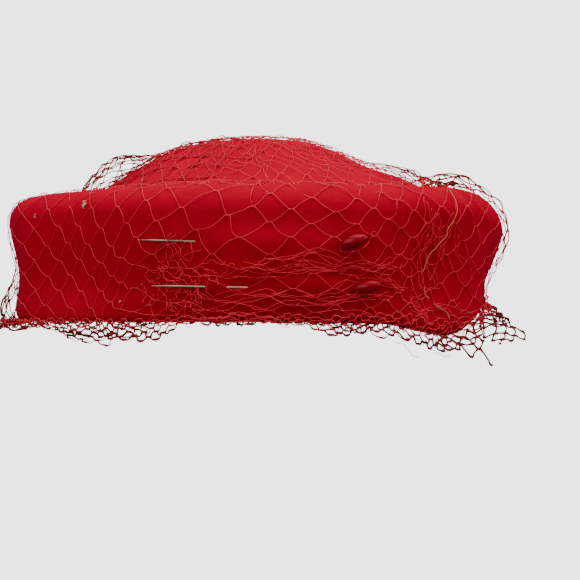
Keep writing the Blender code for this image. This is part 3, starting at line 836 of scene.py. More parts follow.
def crown_point(column, row):
    """The crown's own layer: a level lattice turned a little and laid down over the dome from above."""
    turn = math.radians(CROWN_TURN)
    across, along = column * CROWN_CELL_LENGTH / 2.0, row * CROWN_CELL_WIDTH / 2.0
    across = across + CROWN_RIPPLE * ripple(column * 0.7, row * 0.7, seed=21)
    along = along + CROWN_RIPPLE * ripple(column * 0.7, row * 0.7, seed=22)
    x = across * math.cos(turn) - along * math.sin(turn)
    y = across * math.sin(turn) + along * math.cos(turn)
    angle = np.degrees(np.arctan2(y, x))
    edge_x, edge_y = oval(
        angle, BASE_LENGTH / 2.0 - DOME_END_SETBACK, BASE_WIDTH / 2.0 - DOME_SIDE_SETBACK, DOME_SQUARENESS
    )
    reach = np.clip(np.hypot(x, y) / np.hypot(edge_x, edge_y), 0.0, 1.1)
    station = np.where(reach > 1.0, 3.0 - (reach - 1.0) * 4.0, TOP_STATION - reach)
    gap = CROWN_GAP + CROWN_GAP_RIPPLE * ripple(column * 0.5, row * 0.5, seed=23)
    points = felt_point(angle, station) + felt_normal(angle, station) * np.expand_dims(gap, -1)
    # Painted shade: the added free share darkens the crown layer on the left, for the layer's own shade
    # there.
    return points, gap + CROWN_SHADE_AND_SWELL * np.clip((CROWN_SHADE_AND_SWELL_X - x) / CROWN_SHADE_AND_SWELL_OVER, 0.0, 1.0)


def flap_point(flap):
    """A patch of free net: both lattice directions run evenly between its four corners, bowed outwards."""
    corners = np.array(flap.corners) / 1000.0

    def point(column, row):
        across = np.expand_dims((column + FLAP_RIPPLE * ripple(column, row, seed=41)) / flap.columns, -1)
        down = np.expand_dims((row + FLAP_RIPPLE * ripple(column, row, seed=42)) / flap.rows, -1)
        upper = corners[0] * (1.0 - across) + corners[1] * across
        lower = corners[3] * (1.0 - across) + corners[2] * across
        points = upper * (1.0 - down) + lower * down
        bow = np.sin(math.pi * np.clip(across, 0.0, 1.0)) * np.sin(math.pi * np.clip(down, 0.0, 1.0))
        return points + bow * np.array(FLAP_BOW) / 1000.0, np.full(np.shape(column), FLAP_FREE)

    return point


def ring_quads(index):
    """The faces between neighbouring closed rings, given the point numbers ring by ring."""
    here, there = index[..., :-1, :], index[..., 1:, :]
    corners = [here, np.roll(here, -1, axis=-1), np.roll(there, -1, axis=-1), there]
    return np.stack(corners, axis=-1).reshape(-1, 4)


def strand_tubes(paths, radius, sides):
    """Round strands: a regular polygon carried along each path, square to it, and closed at both ends.

    paths is an array of strands by points by 3, and radius a number or an array of strands by points. Each
    ring's directions come from the path's tangent crossed with a fixed slanting axis.
    """
    strands, count, _ = paths.shape
    tangent = np.gradient(paths, axis=1)
    tangent /= np.linalg.norm(tangent, axis=-1, keepdims=True) + 1e-12
    slant = np.array([0.31, 0.23, 0.92])
    first = np.cross(tangent, slant)
    first /= np.linalg.norm(first, axis=-1, keepdims=True) + 1e-12
    second = np.cross(tangent, first)
    radius = np.broadcast_to(np.asarray(radius, float), (strands, count))[..., None, None]
    angle = np.arange(sides) * 2.0 * math.pi / sides
    ring = first[..., None, :] * np.cos(angle)[:, None] + second[..., None, :] * np.sin(angle)[:, None]
    points = paths[..., None, :] + ring * radius
    index = np.arange(strands * count * sides).reshape(strands, count, sides)
    caps = np.concatenate([index[:, 0, ::-1], index[:, -1, :]])
    return points.reshape(-1, 3), ring_quads(index), caps


def mesh_from(name, parts):
    """One mesh from parts of points, quads and caps, written as whole arrays."""
    points, starts, totals, corners = [], [], [], []
    offset, filled = 0, 0
    for part_points, *face_sets in parts:
        points.append(part_points)
        for faces in face_sets:
            corners.append((faces + offset).ravel())
            totals.append(np.full(len(faces), faces.shape[1]))
            starts.append(filled + np.arange(len(faces)) * faces.shape[1])
            filled += faces.size
        offset += len(part_points)
    points, corners = np.concatenate(points), np.concatenate(corners)
    starts, totals = np.concatenate(starts), np.concatenate(totals)
    mesh = bpy.data.meshes.new(name)
    mesh.vertices.add(len(points))
    mesh.vertices.foreach_set("co", points.astype(np.float32).ravel())
    mesh.loops.add(len(corners))
    mesh.loops.foreach_set("vertex_index", corners.astype(np.int32))
    mesh.polygons.add(len(starts))
    mesh.polygons.foreach_set("loop_start", starts.astype(np.int32))
    mesh.polygons.foreach_set("loop_total", totals.astype(np.int32))
    mesh.update(calc_edges=True)
    mesh.validate()
    mesh.shade_smooth()
    return mesh


def mark_points(mesh, name, values):
    attribute = mesh.attributes.new(name, "FLOAT", "POINT")
    attribute.data.foreach_set("value", values.astype(np.float32))


def add_to_scene(name, data):
    obj = bpy.data.objects.new(name, data)
    bpy.context.scene.collection.objects.link(obj)
    return obj


def add_piece(name, mesh, material):
    obj = add_to_scene(name, mesh)
    mesh.materials.append(material)
    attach(obj, "root")
    return obj


# Materials


def new_node(tree, kind, inputs=None, **settings):
    """A node in a tree, given its settings and then its inputs' values."""
    made = tree.nodes.new(kind)
    for name, value in settings.items():
        setattr(made, name, value)
    for name, value in (inputs or {}).items():
        made.inputs[name].default_value = value
    return made


def fibre_group():
    """Short matted fibres: fine noise for the height, broad cloudy noise for the mask."""
    if "matted_fibres" in bpy.data.node_groups:
        return bpy.data.node_groups["matted_fibres"]
    group = bpy.data.node_groups.new("matted_fibres", "ShaderNodeTree")
    for label in ("Fineness", "Cloud size"):
        group.interface.new_socket(label, in_out="INPUT", socket_type="NodeSocketFloat")
    for label in ("Height", "Cloud"):
        group.interface.new_socket(label, in_out="OUTPUT", socket_type="NodeSocketFloat")
    source = new_node(group, "NodeGroupInput")
    result = new_node(group, "NodeGroupOutput")
    place = new_node(group, "ShaderNodeTexCoord")
    fine = new_node(group, "ShaderNodeTexNoise", {"Detail": 4.0, "Roughness": 0.65})
    cloud = new_node(group, "ShaderNodeTexNoise", {"Detail": 5.0, "Roughness": 0.6, "Distortion": 0.6})
    for texture, size, output in ((fine, "Fineness", "Height"), (cloud, "Cloud size", "Cloud")):
        group.links.new(place.outputs["Object"], texture.inputs["Vector"])
        group.links.new(source.outputs[size], texture.inputs["Scale"])
        group.links.new(texture.outputs["Fac"], result.inputs[output])
    return group


def shade(colour, factor):
    return tuple(channel * factor for channel in colour)


class Finish:
    """A material being made: its node tree, its shader, and short ways to add and join nodes."""

    def __init__(self, name, **values):
        self.material = bpy.data.materials.new(name)
        self.material.use_nodes = True
        self.tree = self.material.node_tree
        self.shader = self.tree.nodes["Principled BSDF"]
        for label, value in values.items():
            self.shader.inputs[label.replace("_", " ")].default_value = value

    def node(self, kind, inputs=None, **settings):
        return new_node(self.tree, kind, inputs, **settings)

    def noise(self, inputs, stretch=(1.0, 1.0, 1.0)):
        """Noise in the object's own coordinates, its scale times stretch along each axis."""
        place = self.node("ShaderNodeTexCoord")
        mapping = self.node("ShaderNodeMapping", {"Scale": stretch})
        texture = self.node("ShaderNodeTexNoise", inputs)
        self.tree.links.new(place.outputs["Object"], mapping.inputs["Vector"])
        self.tree.links.new(mapping.outputs["Vector"], texture.inputs["Vector"])
        return texture.outputs["Fac"]

    def blend(self, factor, first, second):
        """A colour mixed from first to second by a factor's output, read between 0.32 and 0.68."""
        ramp = self.node("ShaderNodeValToRGB")
        for end, position, colour in zip(ramp.color_ramp.elements, (0.32, 0.68), (first, second)):
            end.position = position
            end.color = (*colour, 1.0)
        self.tree.links.new(factor, ramp.inputs["Fac"])
        return ramp.outputs["Color"]

    def bump(self, height, strength, distance):
        bump = self.node("ShaderNodeBump", {"Strength": strength, "Distance": distance})
        self.tree.links.new(height, bump.inputs["Height"])
        self.tree.links.new(bump.outputs["Normal"], self.shader.inputs["Normal"])

    def fibres(self, colour, tones, fineness, cloud_size, nap, depth):
        """Matted fibres in the bump, and the colour clouded between two tones of itself."""
        sizes = {"Fineness": fineness, "Cloud size": cloud_size}
        group = self.node("ShaderNodeGroup", sizes, node_tree=fibre_group())
        self.bump(group.outputs["Height"], nap, depth)
        return self.blend(group.outputs["Cloud"], shade(colour, tones[0]), shade(colour, tones[1]))

    def marked(self, colour, attribute, other):
        """A colour mixed towards another where the mesh's attribute is 1."""
        mark = self.node("ShaderNodeAttribute", attribute_name=attribute)
        mixed = self.node("ShaderNodeMix", {"B": (*other, 1.0)}, data_type="RGBA")
        self.tree.links.new(mark.outputs["Fac"], mixed.inputs["Factor"])
        self.tree.links.new(colour, mixed.inputs["A"])
        return mixed.outputs["Result"]

    def painted(self, colour):
        """The finished material, with a colour's output as its base colour."""
        self.tree.links.new(colour, self.shader.inputs["Base Color"])
        return self.material


def felt_finish(colour, nap):
    finish = Finish(
        "red_wool_felt", Roughness=0.95, Specular_IOR_Level=0.0, Sheen_Weight=0.16, Sheen_Roughness=0.5,
        Sheen_Tint=(1.0, 0.01, 0.16, 1.0),
    )
    clouded = finish.fibres(colour, (0.90, 1.08), fineness=1500.0, cloud_size=38.0, nap=nap, depth=0.0004)
    # Painted shade: the felt's colour darkens towards half where the patch low on the near wall is marked.
    return finish.painted(finish.marked(clouded, "handled", shade(colour, 0.5)))


def net_finish(colour, free_shade_colour):
    finish = Finish("red_net_thread", Roughness=0.5, Specular_IOR_Level=0.12)
    clouded = finish.fibres(colour, (0.78, 1.2), fineness=4200.0, cloud_size=120.0, nap=0.35, depth=0.0002)
    # Painted shade: the thread darkens to the free colour as far as it hangs free.
    return finish.painted(finish.marked(clouded, "free", free_shade_colour))


def thread_finish(name, colour):
    finish = Finish(name, Roughness=0.5, Sheen_Weight=0.2)
    return finish.painted(
        finish.fibres(colour, (0.75, 1.2), fineness=5200.0, cloud_size=150.0, nap=0.4, depth=0.0002)
    )


def bead_finish(colour):
    finish = Finish(
        "glossy_red_bead", Roughness=0.16, Specular_IOR_Level=0.34, Specular_Tint=(1.0, 0.40, 0.46, 1.0)
    )
    swirl = finish.noise({"Scale": 420.0, "Detail": 3.0, "Distortion": 1.4})
    return finish.painted(finish.blend(swirl, shade(colour, 0.8), shade(colour, 1.2)))


def steel_finish():
    finish = Finish("polished_pin_steel", Metallic=1.0, Roughness=0.32)
    drawn = finish.noise({"Scale": 900.0, "Detail": 2.0}, stretch=(0.08, 1.0, 1.0))
    finish.bump(drawn, 0.1, 0.0001)
    return finish.painted(finish.blend(drawn, (0.26, 0.17, 0.12), (0.50, 0.36, 0.27)))


def glow_by_ray(tree, seen, unseen, socket):
    """Gives a strength one value for what the camera sees and another for the light that it throws."""
    path = new_node(tree, "ShaderNodeLightPath")
    strength = new_node(tree, "ShaderNodeMix", {"A": unseen, "B": seen})
    tree.links.new(path.outputs["Is Camera Ray"], strength.inputs["Factor"])
    tree.links.new(strength.outputs["Result"], socket)


def paper_finish(name):
    """Paper that the camera sees near white, and that throws little light on the hat."""
    finish = Finish(
        name, Roughness=0.9, Base_Color=(0.10, 0.10, 0.10, 1.0), Emission_Color=(1.0, 1.0, 1.0, 1.0)
    )
    glow_by_ray(finish.tree, PAPER_GLOW, 0.0, finish.shader.inputs["Emission Strength"])
    return finish.material


def studio_air(light):
    """The room round the hat: a white glow for the camera and a softer one for lighting."""
    world = bpy.data.worlds.new("studio_air")
    world.use_nodes = True
    background = world.node_tree.nodes["Background"]
    background.inputs["Color"].default_value = (1.0, 1.0, 1.0, 1.0)
    glow_by_ray(world.node_tree, AIR_GLOW, light, background.inputs["Strength"])
    return world


# Settings


def colour_setting(name, description, default):
    return FloatVectorProperty(
        name=name, description=description, default=default, subtype="COLOR", size=3, min=0.0, max=1.0
    )


def length_setting(name, description, default, low, high):
    return FloatProperty(
        name=name, description=description, default=default, min=low, max=high, unit="LENGTH", precision=5
    )


def number_setting(name, description, default, low, high):
    return FloatProperty(name=name, description=description, default=default, min=low, max=high)


class HatFeltSettings(bpy.types.PropertyGroup):
    colour: colour_setting("Felt colour", "Base colour of the felt", (0.42, 0.0004, 0.0160))
    nap: number_setting("Nap", "How strongly the felt's fibres show", 0.22, 0.0, 1.0)
    lint_colour: colour_setting("Lint colour", "Base colour of the lint on the felt", (0.72, 0.42, 0.36))
    steps_round: IntProperty(
        name="Steps round", description="Felt faces round the hat", default=224, min=48, max=400
    )


class HatVeilSettings(bpy.types.PropertyGroup):
    colour: colour_setting("Net colour", "Base colour of the net's thread", (0.78, 0.030, 0.055))
    # Painted shade: net that hangs free is given a darker colour, for its shade and its dark look against the
    # bright paper.
    free_shade_colour: colour_setting(
        "Free net colour", "Base colour of the thread where it hangs free", (0.20, 0.013, 0.013)
    )
    strand_diameter: length_setting(
        "Strand diameter", "Diameter of one strand of the net", 0.00028, 0.0001, 0.002
    )
    free_swelling: number_setting(
        "Free swelling", "How much fuller a strand is where it hangs free of the felt", 1.2, 0.0, 2.0
    )
    knot_length: length_setting(
        "Knot length", "Length of the twist where two strands cross", 0.0021, 0.0, 0.006
    )


class HatTrimSettings(bpy.types.PropertyGroup):
    bead_colour: colour_setting("Pin head colour", "Base colour of the pins' heads", (0.24, 0.0008, 0.008))
    thread_colour: colour_setting("Thread colour", "Base colour of the gathering thread", (0.66, 0.15, 0.055))
    thread_diameter: length_setting(
        "Thread diameter", "Diameter of the gathering thread", 0.00031, 0.0001, 0.002
    )


class HatStageSettings(bpy.types.PropertyGroup):
    camera_distance: length_setting(
        "Camera distance", "From the lens to the middle of the near wall", 0.47, 0.2, 3.0
    )
    eye_height: length_setting(
        "Eye height", "Height of the camera over the felt's lower edge", 0.0123, -0.2, 0.5
    )
    camera_side: length_setting(
        "Camera side", "How far right of the hat's middle the camera stands", 0.0173, -0.3, 0.3
    )
    lens: number_setting("Lens", "Focal length in millimetres, for the sensor's width", 76.97, 20.0, 200.0)
    light: number_setting("Overhead light", "Power of the soft overhead light, in watts", 8.8, 0.0, 200.0)
    air: number_setting("Room light", "Strength of the even light from all round", 0.60, 0.0, 5.0)


# Felt


def painted_shade_tone(points):
    """Painted shade in the felt's colour: a soft darker patch low on the near wall, for the shade under the
    drawn-up net.
    """
    across, _, height = points.T * 1000.0
    painted_shade_falloff = swell((across - PAINTED_SHADE_X) / PAINTED_SHADE_HALF_X) * swell((height - PAINTED_SHADE_Z) / PAINTED_SHADE_HALF_Z)
    return np.where(points[:, 1] < 0.0, PAINTED_SHADE_DARKNESS * painted_shade_falloff, 0.0)


def felt_stations():
    """The felt's rows of points: closest at the tucked edge and over the shoulder."""
    return np.concatenate(
        [
            np.linspace(0.0, 0.12, 9)[:-1],
            np.linspace(0.12, 1.0, 34),
            np.linspace(1.0, 2.0, 13)[1:],
            np.linspace(2.0, 3.0, 8)[1:],
            np.linspace(3.0, TOP_STATION, 42)[1:-1],
        ]
    )


class HAT_OT_felt(bpy.types.Operator):
    """Make the moulded felt body over its solid"""

    bl_idname = "hat.felt"
    bl_label = "Felt body"

    def execute(self, context):
        settings = context.scene.hat_felt
        count = settings.steps_round
        azimuth = np.arange(count) * 360.0 / count
        station = felt_stations()
        grid = felt_point(azimuth[None, :], station[:, None])
        index = np.arange(len(station) * count).reshape(len(station), count)
        fan = np.stack([index[-1], np.roll(index[-1], -1), np.full(count, index.size)], axis=-1)
        points = np.concatenate([grid.reshape(-1, 3), felt_point(np.zeros(1), np.full(1, TOP_STATION))])
        mesh = mesh_from("felt_cap", [(points, ring_quads(index), fan)])
        # Marks the patch of painted shade low on the near wall on the felt's points.
        mark_points(mesh, "handled", painted_shade_tone(points))
        felt = add_piece("felt_cap", mesh, felt_finish(tuple(settings.colour), settings.nap))
        body = felt.modifiers.new("felt_thickness", "SOLIDIFY")
        body.thickness = FELT_THICKNESS
        body.offset = -1.0
        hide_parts("felt_body")
        return {"FINISHED"}


# Net


def lattice_steps(rows, columns, leaning):
    """Both ends of a family's steps: each a column to the right and a row down (leaning 1) or up (-1)."""
    row, column = np.meshgrid(np.arange(*rows), np.arange(*columns), indexing="ij")
    keep = (row + column) % 2 == (0 if leaning > 0 else 1)
    row, column = row[keep].astype(float), column[keep].astype(float)
    upper, lower = (row, row + 1.0) if leaning > 0 else (row + 1.0, row)
    return (column, upper), (column + 1.0, lower)


def strand_paths(surface, steps, knot_length, seed):
    """Points from one knot to the next, and how wholly each point hangs free.

    The path leaves the middle of a knot level, along its half twist, swings over as a slack curve, and comes
    level into the middle of the next one.
    """
    rng = np.random.default_rng(seed)
    first, second = steps
    count = len(first[0])
    column = first[0][:, None] + (second[0] - first[0])[:, None] * STRAND_SHARES
    row = first[1][:, None] + (second[1] - first[1])[:, None] * STRAND_SHARES
    points, off = surface(column, row)
    level = points[:, -1] - points[:, 0]
    reach = np.linalg.norm(level, axis=-1, keepdims=True)
    level[:, 2] *= KNOT_SLOPE
    level /= np.linalg.norm(level, axis=-1, keepdims=True) + 1e-9
    half = np.minimum(knot_length / 2.0, reach * KNOT_MOST)
    points += (level * half)[:, None, :] * KNOT_EASING[None, :, None]
    slack = np.sin(STRAND_SHARES * math.pi)
    points[..., 2] -= slack * rng.normal(STRAND_SAG, SAG_SPREAD, (count, 1))
    points += slack[None, :, None] * rng.normal(0.0, STRAND_BEND, (count, 1, 3))
    return points, np.clip((off - FREE_FROM) / FREE_OVER, 0.0, 1.0)


def net_mesh(name, surface, rows, columns, settings, weights, seed, keep=None):
    """Both families of a piece of net in one mesh, thicker at the knots and where the strands hang free."""
    parts, marks = [], []
    for number, leaning in enumerate((1, -1)):
        steps = lattice_steps(rows, columns, leaning)
        if keep is not None:
            kept = keep(*steps[0]) & keep(*steps[1])
            steps = tuple((column[kept], row[kept]) for column, row in steps)
        paths, free = strand_paths(surface, steps, settings.knot_length, seed + number)
        knots = 1.0 + (KNOT_SWELLING + FREE_KNOT_SWELLING * free) * KNOT_FULLNESS
        weight = weights[number](*steps[0])[:, None]
        radius = settings.strand_diameter / 2.0 * weight * (1.0 + settings.free_swelling * free) * knots
        parts.append(strand_tubes(paths, radius, STRAND_SIDES))
        marks.append(np.repeat(free.ravel(), STRAND_SIDES))
    mesh = mesh_from(name, parts)
    # The free mark sets where the thread is painted in the darker free colour, as painted shade.
    mark_points(mesh, "free", np.concatenate(marks))
    return mesh


def falling_weight(column, row):
    """Finer where the rows are drawn together low on the near wall, and over the dome."""
    drawn_in = swell((column - DRAWN_COLUMN) / DRAWN_REACH) * np.clip(row / DRAWN_ROWS, 0.0, 1.0)
    over_dome = np.clip((THINNED_ROW - row) / THINNED_OVER, 0.0, 1.0)
    return 1.0 - DRAWN_THINNING * np.maximum(drawn_in, over_dome)


def rising_weight(column, row):
    """As the falling ones, and finer on the near left, where the net is drawn out along those."""
    drawn_out = swell((column - RISING_COLUMN) / RISING_REACH)
    return falling_weight(column, row) * (RISING_WEIGHT - RISING_THINNING * drawn_out)


def even_weights(weight):
    """The same thickness for both families all over a piece."""
    return (lambda column, row: np.full_like(column, weight),) * 2


def on_crown(column, row):
    """Where the crown's layer lies: over the top and the back, with a slanting front edge."""
    x, y = column * CROWN_CELL_LENGTH / 2.0, row * CROWN_CELL_WIDTH / 2.0
    reach = np.hypot(x / (BASE_LENGTH / 2.0 - DOME_END_SETBACK), y / (BASE_WIDTH / 2.0 - DOME_SIDE_SETBACK))
    front = CROWN_FRONT + CROWN_SLANT * np.clip(x, -CROWN_SLANT_REACH, CROWN_SLANT_REACH)
    return (reach < CROWN_EDGE) & (y > front)


def net_thread():
    """The net's material, made from the scene's settings when it is first asked for."""
    settings = bpy.context.scene.hat_veil
    made = bpy.data.materials.get("red_net_thread")
    return made or net_finish(tuple(settings.colour), tuple(settings.free_shade_colour))


def add_net(name, surface, rows, columns, weights, seed, keep=None):
    mesh = net_mesh(name, surface, rows, columns, bpy.context.scene.hat_veil, weights, seed, keep)
    return add_piece(name, mesh, net_thread())


class HAT_OT_veil(bpy.types.Operator):
    """Make the net veil that lies over the sides and hangs below the felt"""

    bl_idname = "hat.veil"
    bl_label = "Veil"

    def execute(self, context):
        columns = (0, NET_COLUMNS)
        weights = (falling_weight, rising_weight)
        sides = add_net("veil_sides", veil_point, (NET_WALL_ROW, NET_LAST_ROW), columns, weights, seed=11)
        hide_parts("veil_net")
        add_net("veil_rim_and_dome", veil_point, (NET_TOP_ROW, NET_WALL_ROW), columns, weights, seed=14)
        return {"FINISHED"}


class HAT_OT_hem_fold(bpy.types.Operator):
    """Make the gathered fold of net at the felt's edge"""

    bl_idname = "hat.hem_fold"
    bl_label = "Hem fold"

    def execute(self, context):
        weights = even_weights(HEM_WEIGHT)
        add_net("veil_hem_fold", hem_point, (0, HEM_ROWS), (0, HEM_COLUMNS), weights, seed=17)
        return {"FINISHED"}


class HAT_OT_flaps(bpy.types.Operator):
    """Make the patches of net that stand free at the right end"""

    bl_idname = "hat.flaps"
    bl_label = "Free patches of net"

    def execute(self, context):
        weights = even_weights(HEM_WEIGHT)
        for seed, flap in enumerate(FLAP_ROWS, start=27):
            add_net(flap.name, flap_point(flap), (0, flap.rows), (0, flap.columns), weights, seed)
        return {"FINISHED"}


class HAT_OT_crown_net(bpy.types.Operator):
    """Make the net's second layer over the dome"""

    bl_idname = "hat.crown_net"
    bl_label = "Crown net"

    def execute(self, context):
        reach = (-CROWN_REACH, CROWN_REACH)
        weights = even_weights(CROWN_WEIGHT)
        add_net("veil_crown_layer", crown_point, reach, reach, weights, seed=24, keep=on_crown)
        return {"FINISHED"}


# Loose strands, lint and thread


def loop_points(row, steps):
    """A tilted ellipse arc over the near wall, lifted off the felt most in its middle."""
    share = np.linspace(0.0, 1.0, steps)
    angle = np.radians(row.start + row.sweep * share)
    tilt = math.radians(row.tilt)
    across, up = row.half_x * np.cos(angle), row.half_z * np.sin(angle)
    x = row.x + across * math.cos(tilt) - up * math.sin(tilt)
    z = row.z + across * math.sin(tilt) + up * math.cos(tilt)
    gap = LOOP_SEAT + (row.lift - LOOP_SEAT) * np.sin(share * math.pi) ** 0.5
    return on_near_wall(x / 1000.0, z / 1000.0, gap / 1000.0)


def loose_mesh(name, rows, radius, steps, lift, loops=()):
    """Loose curling strands: each walks on by equal strides along a slowly wandering heading."""
    rng = np.random.default_rng(LOOSE_SEED)
    parts = []
    for number, row in enumerate(rows):
        size = (row.strands, 1)
        heading = np.radians(row.heading + row.spread * rng.uniform(-1.0, 1.0, size))
        heading = heading + wander(HEADING_SEED + number, row.strands, steps, 0.25 + row.spread / 120.0)
        stride = row.length * rng.uniform(0.6, 1.2, size) / steps
        x = row.x + row.half_x * rng.uniform(-1.0, 1.0, size) + np.cumsum(np.cos(heading) * stride, axis=1)
        z = row.z + row.half_z * rng.uniform(-1.0, 1.0, size) + np.cumsum(np.sin(heading) * stride, axis=1)
        gap = lift + wander(GAP_SEED + number, row.strands, steps, lift / 5.0)
        points = on_near_wall(x / 1000.0, np.maximum(z, row.floor) / 1000.0, np.maximum(gap, LEAST_GAP))
        parts.append(strand_tubes(points, radius, STRAND_SIDES))
    parts += [strand_tubes(loop_points(row, steps)[None], radius, STRAND_SIDES) for row in loops]
    return mesh_from(name, parts)


class HAT_OT_loose_strands(bpy.types.Operator):
    """Make the loose and drawn-up strands across the near wall"""

    bl_idname = "hat.loose_strands"
    bl_label = "Loose strands"

    def execute(self, context):
        radius = context.scene.hat_veil.strand_diameter / 2.0 * LOOSE_WEIGHT
        mesh = loose_mesh("veil_loose_strands", LOOSE_ROWS, radius, LOOSE_STEPS, LOOSE_LIFT, LOOP_ROWS)
        add_piece("veil_loose_strands", mesh, net_thread())
        return {"FINISHED"}


class HAT_OT_lint(bpy.types.Operator):
    """Make the specks of pale lint caught on the felt"""

    bl_idname = "hat.lint"
    bl_label = "Lint"

    def execute(self, context):
        colour = tuple(context.scene.hat_felt.lint_colour)
        mesh = loose_mesh("felt_lint", LINT_ROWS, LINT_RADIUS, LINT_STEPS, LINT_LIFT)
        add_piece("felt_lint", mesh, thread_finish("pale_lint", colour))
        return {"FINISHED"}


class HAT_OT_thread(bpy.types.Operator):
    """Make the gathering thread that draws the net up at the right"""

    bl_idname = "hat.thread"
    bl_label = "Gathering thread"

    def execute(self, context):
        settings = context.scene.hat_trim
        known = np.array(THREAD_POINTS) / 1000.0
        index = np.arange(len(known), dtype=float)
        parts = []
        for number, (first, last) in enumerate(THREAD_RUNS):
            places = np.linspace(first, last, THREAD_STEPS)
            aside = wander(THREAD_SEED_X + number, 1, THREAD_STEPS, THREAD_WANDER_X)[0]
            up = wander(THREAD_SEED_Z + number, 1, THREAD_STEPS, THREAD_WANDER_Z)[0]
            x = smooth_through(places, index, known[:, 0]) + aside
            z = smooth_through(places, index, known[:, 1]) + up
            points = on_near_wall(x, z, np.full(THREAD_STEPS, THREAD_LIFT))[None]
            parts.append(strand_tubes(points, settings.thread_diameter / 2.0, THREAD_SIDES))
        finish = thread_finish("gathering_thread", tuple(settings.thread_colour))
        add_piece("gathering_thread", mesh_from("gathering_thread", parts), finish)
        return {"FINISHED"}


# Pins


def bead_profile(share):
    """The pin head's radius at a share of its length, 1 at its widest: a drop, fuller past its middle."""
    return np.sin(math.pi * share**BEAD_LEAN) ** BEAD_FULLNESS


def bead_mesh(name, solid_middle, along):
    """A pin's turned head: rings of its profile, closed to a point at each end and laid along the pin."""
    length = PIN_HEAD_LENGTH * BEAD_SHARE + PIN_COLLAR
    middle = solid_middle - np.array(along) * (PIN_HEAD_LENGTH * (1.0 - BEAD_SHARE) + PIN_COLLAR) / 2.0
    share = 0.5 - 0.5 * np.cos(np.linspace(0.0, math.pi, BEAD_RINGS + 2)[1:-1])
    radius = bead_profile(share) * PIN_HEAD_DIAMETER / 2.0
    angle = np.arange(BEAD_SIDES) * 2.0 * math.pi / BEAD_SIDES
    height = np.repeat(((share - 0.5) * length)[:, None], BEAD_SIDES, axis=1)
    grid = np.stack([np.outer(radius, np.cos(angle)), np.outer(radius, np.sin(angle)), height], axis=-1)
    poles = np.array([[0.0, 0.0, -length / 2.0], [0.0, 0.0, length / 2.0]])
    index = np.arange(BEAD_RINGS * BEAD_SIDES).reshape(BEAD_RINGS, BEAD_SIDES)
    first, last = index[0], index[-1]
    bottom = np.stack([np.roll(first, -1), first, np.full(BEAD_SIDES, index.size)], axis=-1)
    top = np.stack([last, np.roll(last, -1), np.full(BEAD_SIDES, index.size + 1)], axis=-1)
    turn = np.array(along.to_track_quat("Z", "Y").to_matrix())
    points = np.concatenate([grid.reshape(-1, 3), poles]) @ turn.T + middle
    return mesh_from(name, [(points, ring_quads(index), bottom, top)])


class HAT_OT_pins(bpy.types.Operator):
    """Make the pins' turned heads and finish their steel"""

    bl_idname = "hat.pins"
    bl_label = "Hat pins"

    def execute(self, context):
        bead = bead_finish(tuple(context.scene.hat_trim.bead_colour))
        steel = steel_finish()
        for pin, head_tilt in PIN_ROWS:
            low, high = (np.array(corner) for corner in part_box(f"pin_head_{pin}"))
            tilt = math.radians(head_tilt)
            level = math.cos(tilt) * math.cos(PIN_HEAD_LEAN)
            along = Vector((level, -math.sin(PIN_HEAD_LEAN), math.sin(tilt))).normalized()
            mesh = bead_mesh(f"pin_bead_{pin}", (low + high) / 2.0, along)
            head = add_piece(f"pin_bead_{pin}", mesh, bead)
            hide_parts(f"pin_head_{pin}")
            for slot in bpy.data.objects[f"pin_shank_{pin}"].material_slots:
                slot.material = steel
        return {"FINISHED"}


# Studio


def pale_sweep():
    """Paper under and behind the hat: a level floor, a quarter turn of the sweep's radius, and a wall."""
    turn = np.linspace(0.1, math.pi / 2.0, 14)
    back = SWEEP_BEND + SWEEP_RADIUS
    depth = np.concatenate([[SWEEP_FRONT, SWEEP_BEND], SWEEP_BEND + SWEEP_RADIUS * np.sin(turn), [back]])
    height = np.concatenate([[0.0, 0.0], SWEEP_RADIUS - SWEEP_RADIUS * np.cos(turn), [SWEEP_TOP]])
    x, y = np.meshgrid(np.linspace(-SWEEP_HALF_WIDTH, SWEEP_HALF_WIDTH, 9), depth, indexing="ij")
    z = np.broadcast_to(height, x.shape) - FLOOR_DROP
    index = np.arange(x.size).reshape(x.shape)
    quads = np.stack([index[:-1, :-1], index[1:, :-1], index[1:, 1:], index[:-1, 1:]], axis=-1)
    return mesh_from("pale_sweep", [(np.stack([x, y, z], axis=-1).reshape(-1, 3), quads.reshape(-1, 4))])


def add_soft_light(row, power):
    light = bpy.data.lights.new(row.name, "AREA")
    light.shape = "SQUARE"
    light.size = row.size
    light.energy = power
    holder = add_to_scene(row.name, light)
    holder.location = row.place
    direction = Vector(row.aim) - Vector(row.place)
    holder.rotation_euler = direction.to_track_quat("-Z", "Y").to_euler()


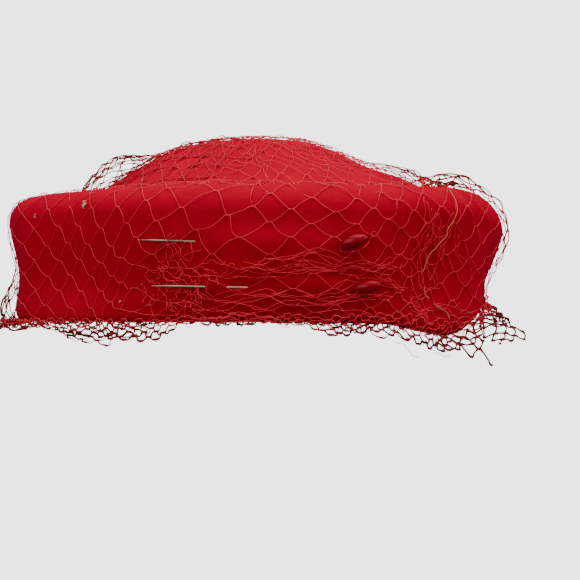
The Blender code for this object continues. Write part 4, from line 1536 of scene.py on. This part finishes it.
class HAT_OT_stage(bpy.types.Operator):
    """Set up the pale floor, the soft lights and the camera"""

    bl_idname = "hat.stage"
    bl_label = "Studio"

    def execute(self, context):
        settings = context.scene.hat_stage
        mesh = pale_sweep()
        mesh.materials.append(paper_finish("pale_paper"))
        add_to_scene("pale_sweep", mesh)
        context.scene.world = studio_air(settings.air)
        for row in LIGHT_ROWS:
            add_soft_light(row, settings.light * row.share)

        camera = bpy.data.cameras.new("camera")
        camera.sensor_width = SENSOR_WIDTH
        camera.lens = settings.lens
        camera.clip_start = 0.01
        holder = add_to_scene("camera", camera)
        near = -BASE_WIDTH / 2.0
        holder.location = (settings.camera_side, near - settings.camera_distance, settings.eye_height)
        holder.rotation_euler = (math.pi / 2.0, 0.0, 0.0)
        context.scene.camera = holder
        return {"FINISHED"}


# Add-on


class HAT_PT_panel(bpy.types.Panel):
    """Lists the hat's pieces and their settings"""

    bl_idname = "HAT_PT_panel"
    bl_label = "Pillbox hat"
    bl_space_type = "VIEW_3D"
    bl_region_type = "UI"
    bl_category = "Hat"

    def draw(self, context):
        for group in GROUPS:
            box = self.layout.box()
            for name in group.settings.__annotations__:
                box.prop(getattr(context.scene, group.name), name)
            for operator in group.operators:
                box.operator(operator.bl_idname)


VEIL_OPERATORS = (HAT_OT_veil, HAT_OT_hem_fold, HAT_OT_flaps, HAT_OT_crown_net, HAT_OT_loose_strands)
GROUPS = table(
    "name settings operators",
    ("hat_felt", HatFeltSettings, (HAT_OT_felt, HAT_OT_lint)),
    ("hat_veil", HatVeilSettings, VEIL_OPERATORS),
    ("hat_trim", HatTrimSettings, (HAT_OT_thread, HAT_OT_pins)),
    ("hat_stage", HatStageSettings, (HAT_OT_stage,)),
)
OPERATORS = tuple(operator for group in GROUPS for operator in group.operators)
CLASSES = (*(group.settings for group in GROUPS), *OPERATORS, HAT_PT_panel)


def register():
    for cls in CLASSES:
        bpy.utils.register_class(cls)
    for group in GROUPS:
        setattr(bpy.types.Scene, group.name, PointerProperty(type=group.settings))


def unregister():
    for group in GROUPS:
        delattr(bpy.types.Scene, group.name)
    for cls in reversed(CLASSES):
        bpy.utils.unregister_class(cls)


def main():
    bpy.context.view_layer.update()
    register()
    for operator in OPERATORS:
        group, name = operator.bl_idname.split(".")
        getattr(getattr(bpy.ops, group), name)()


if __name__ == "__main__":
    main()
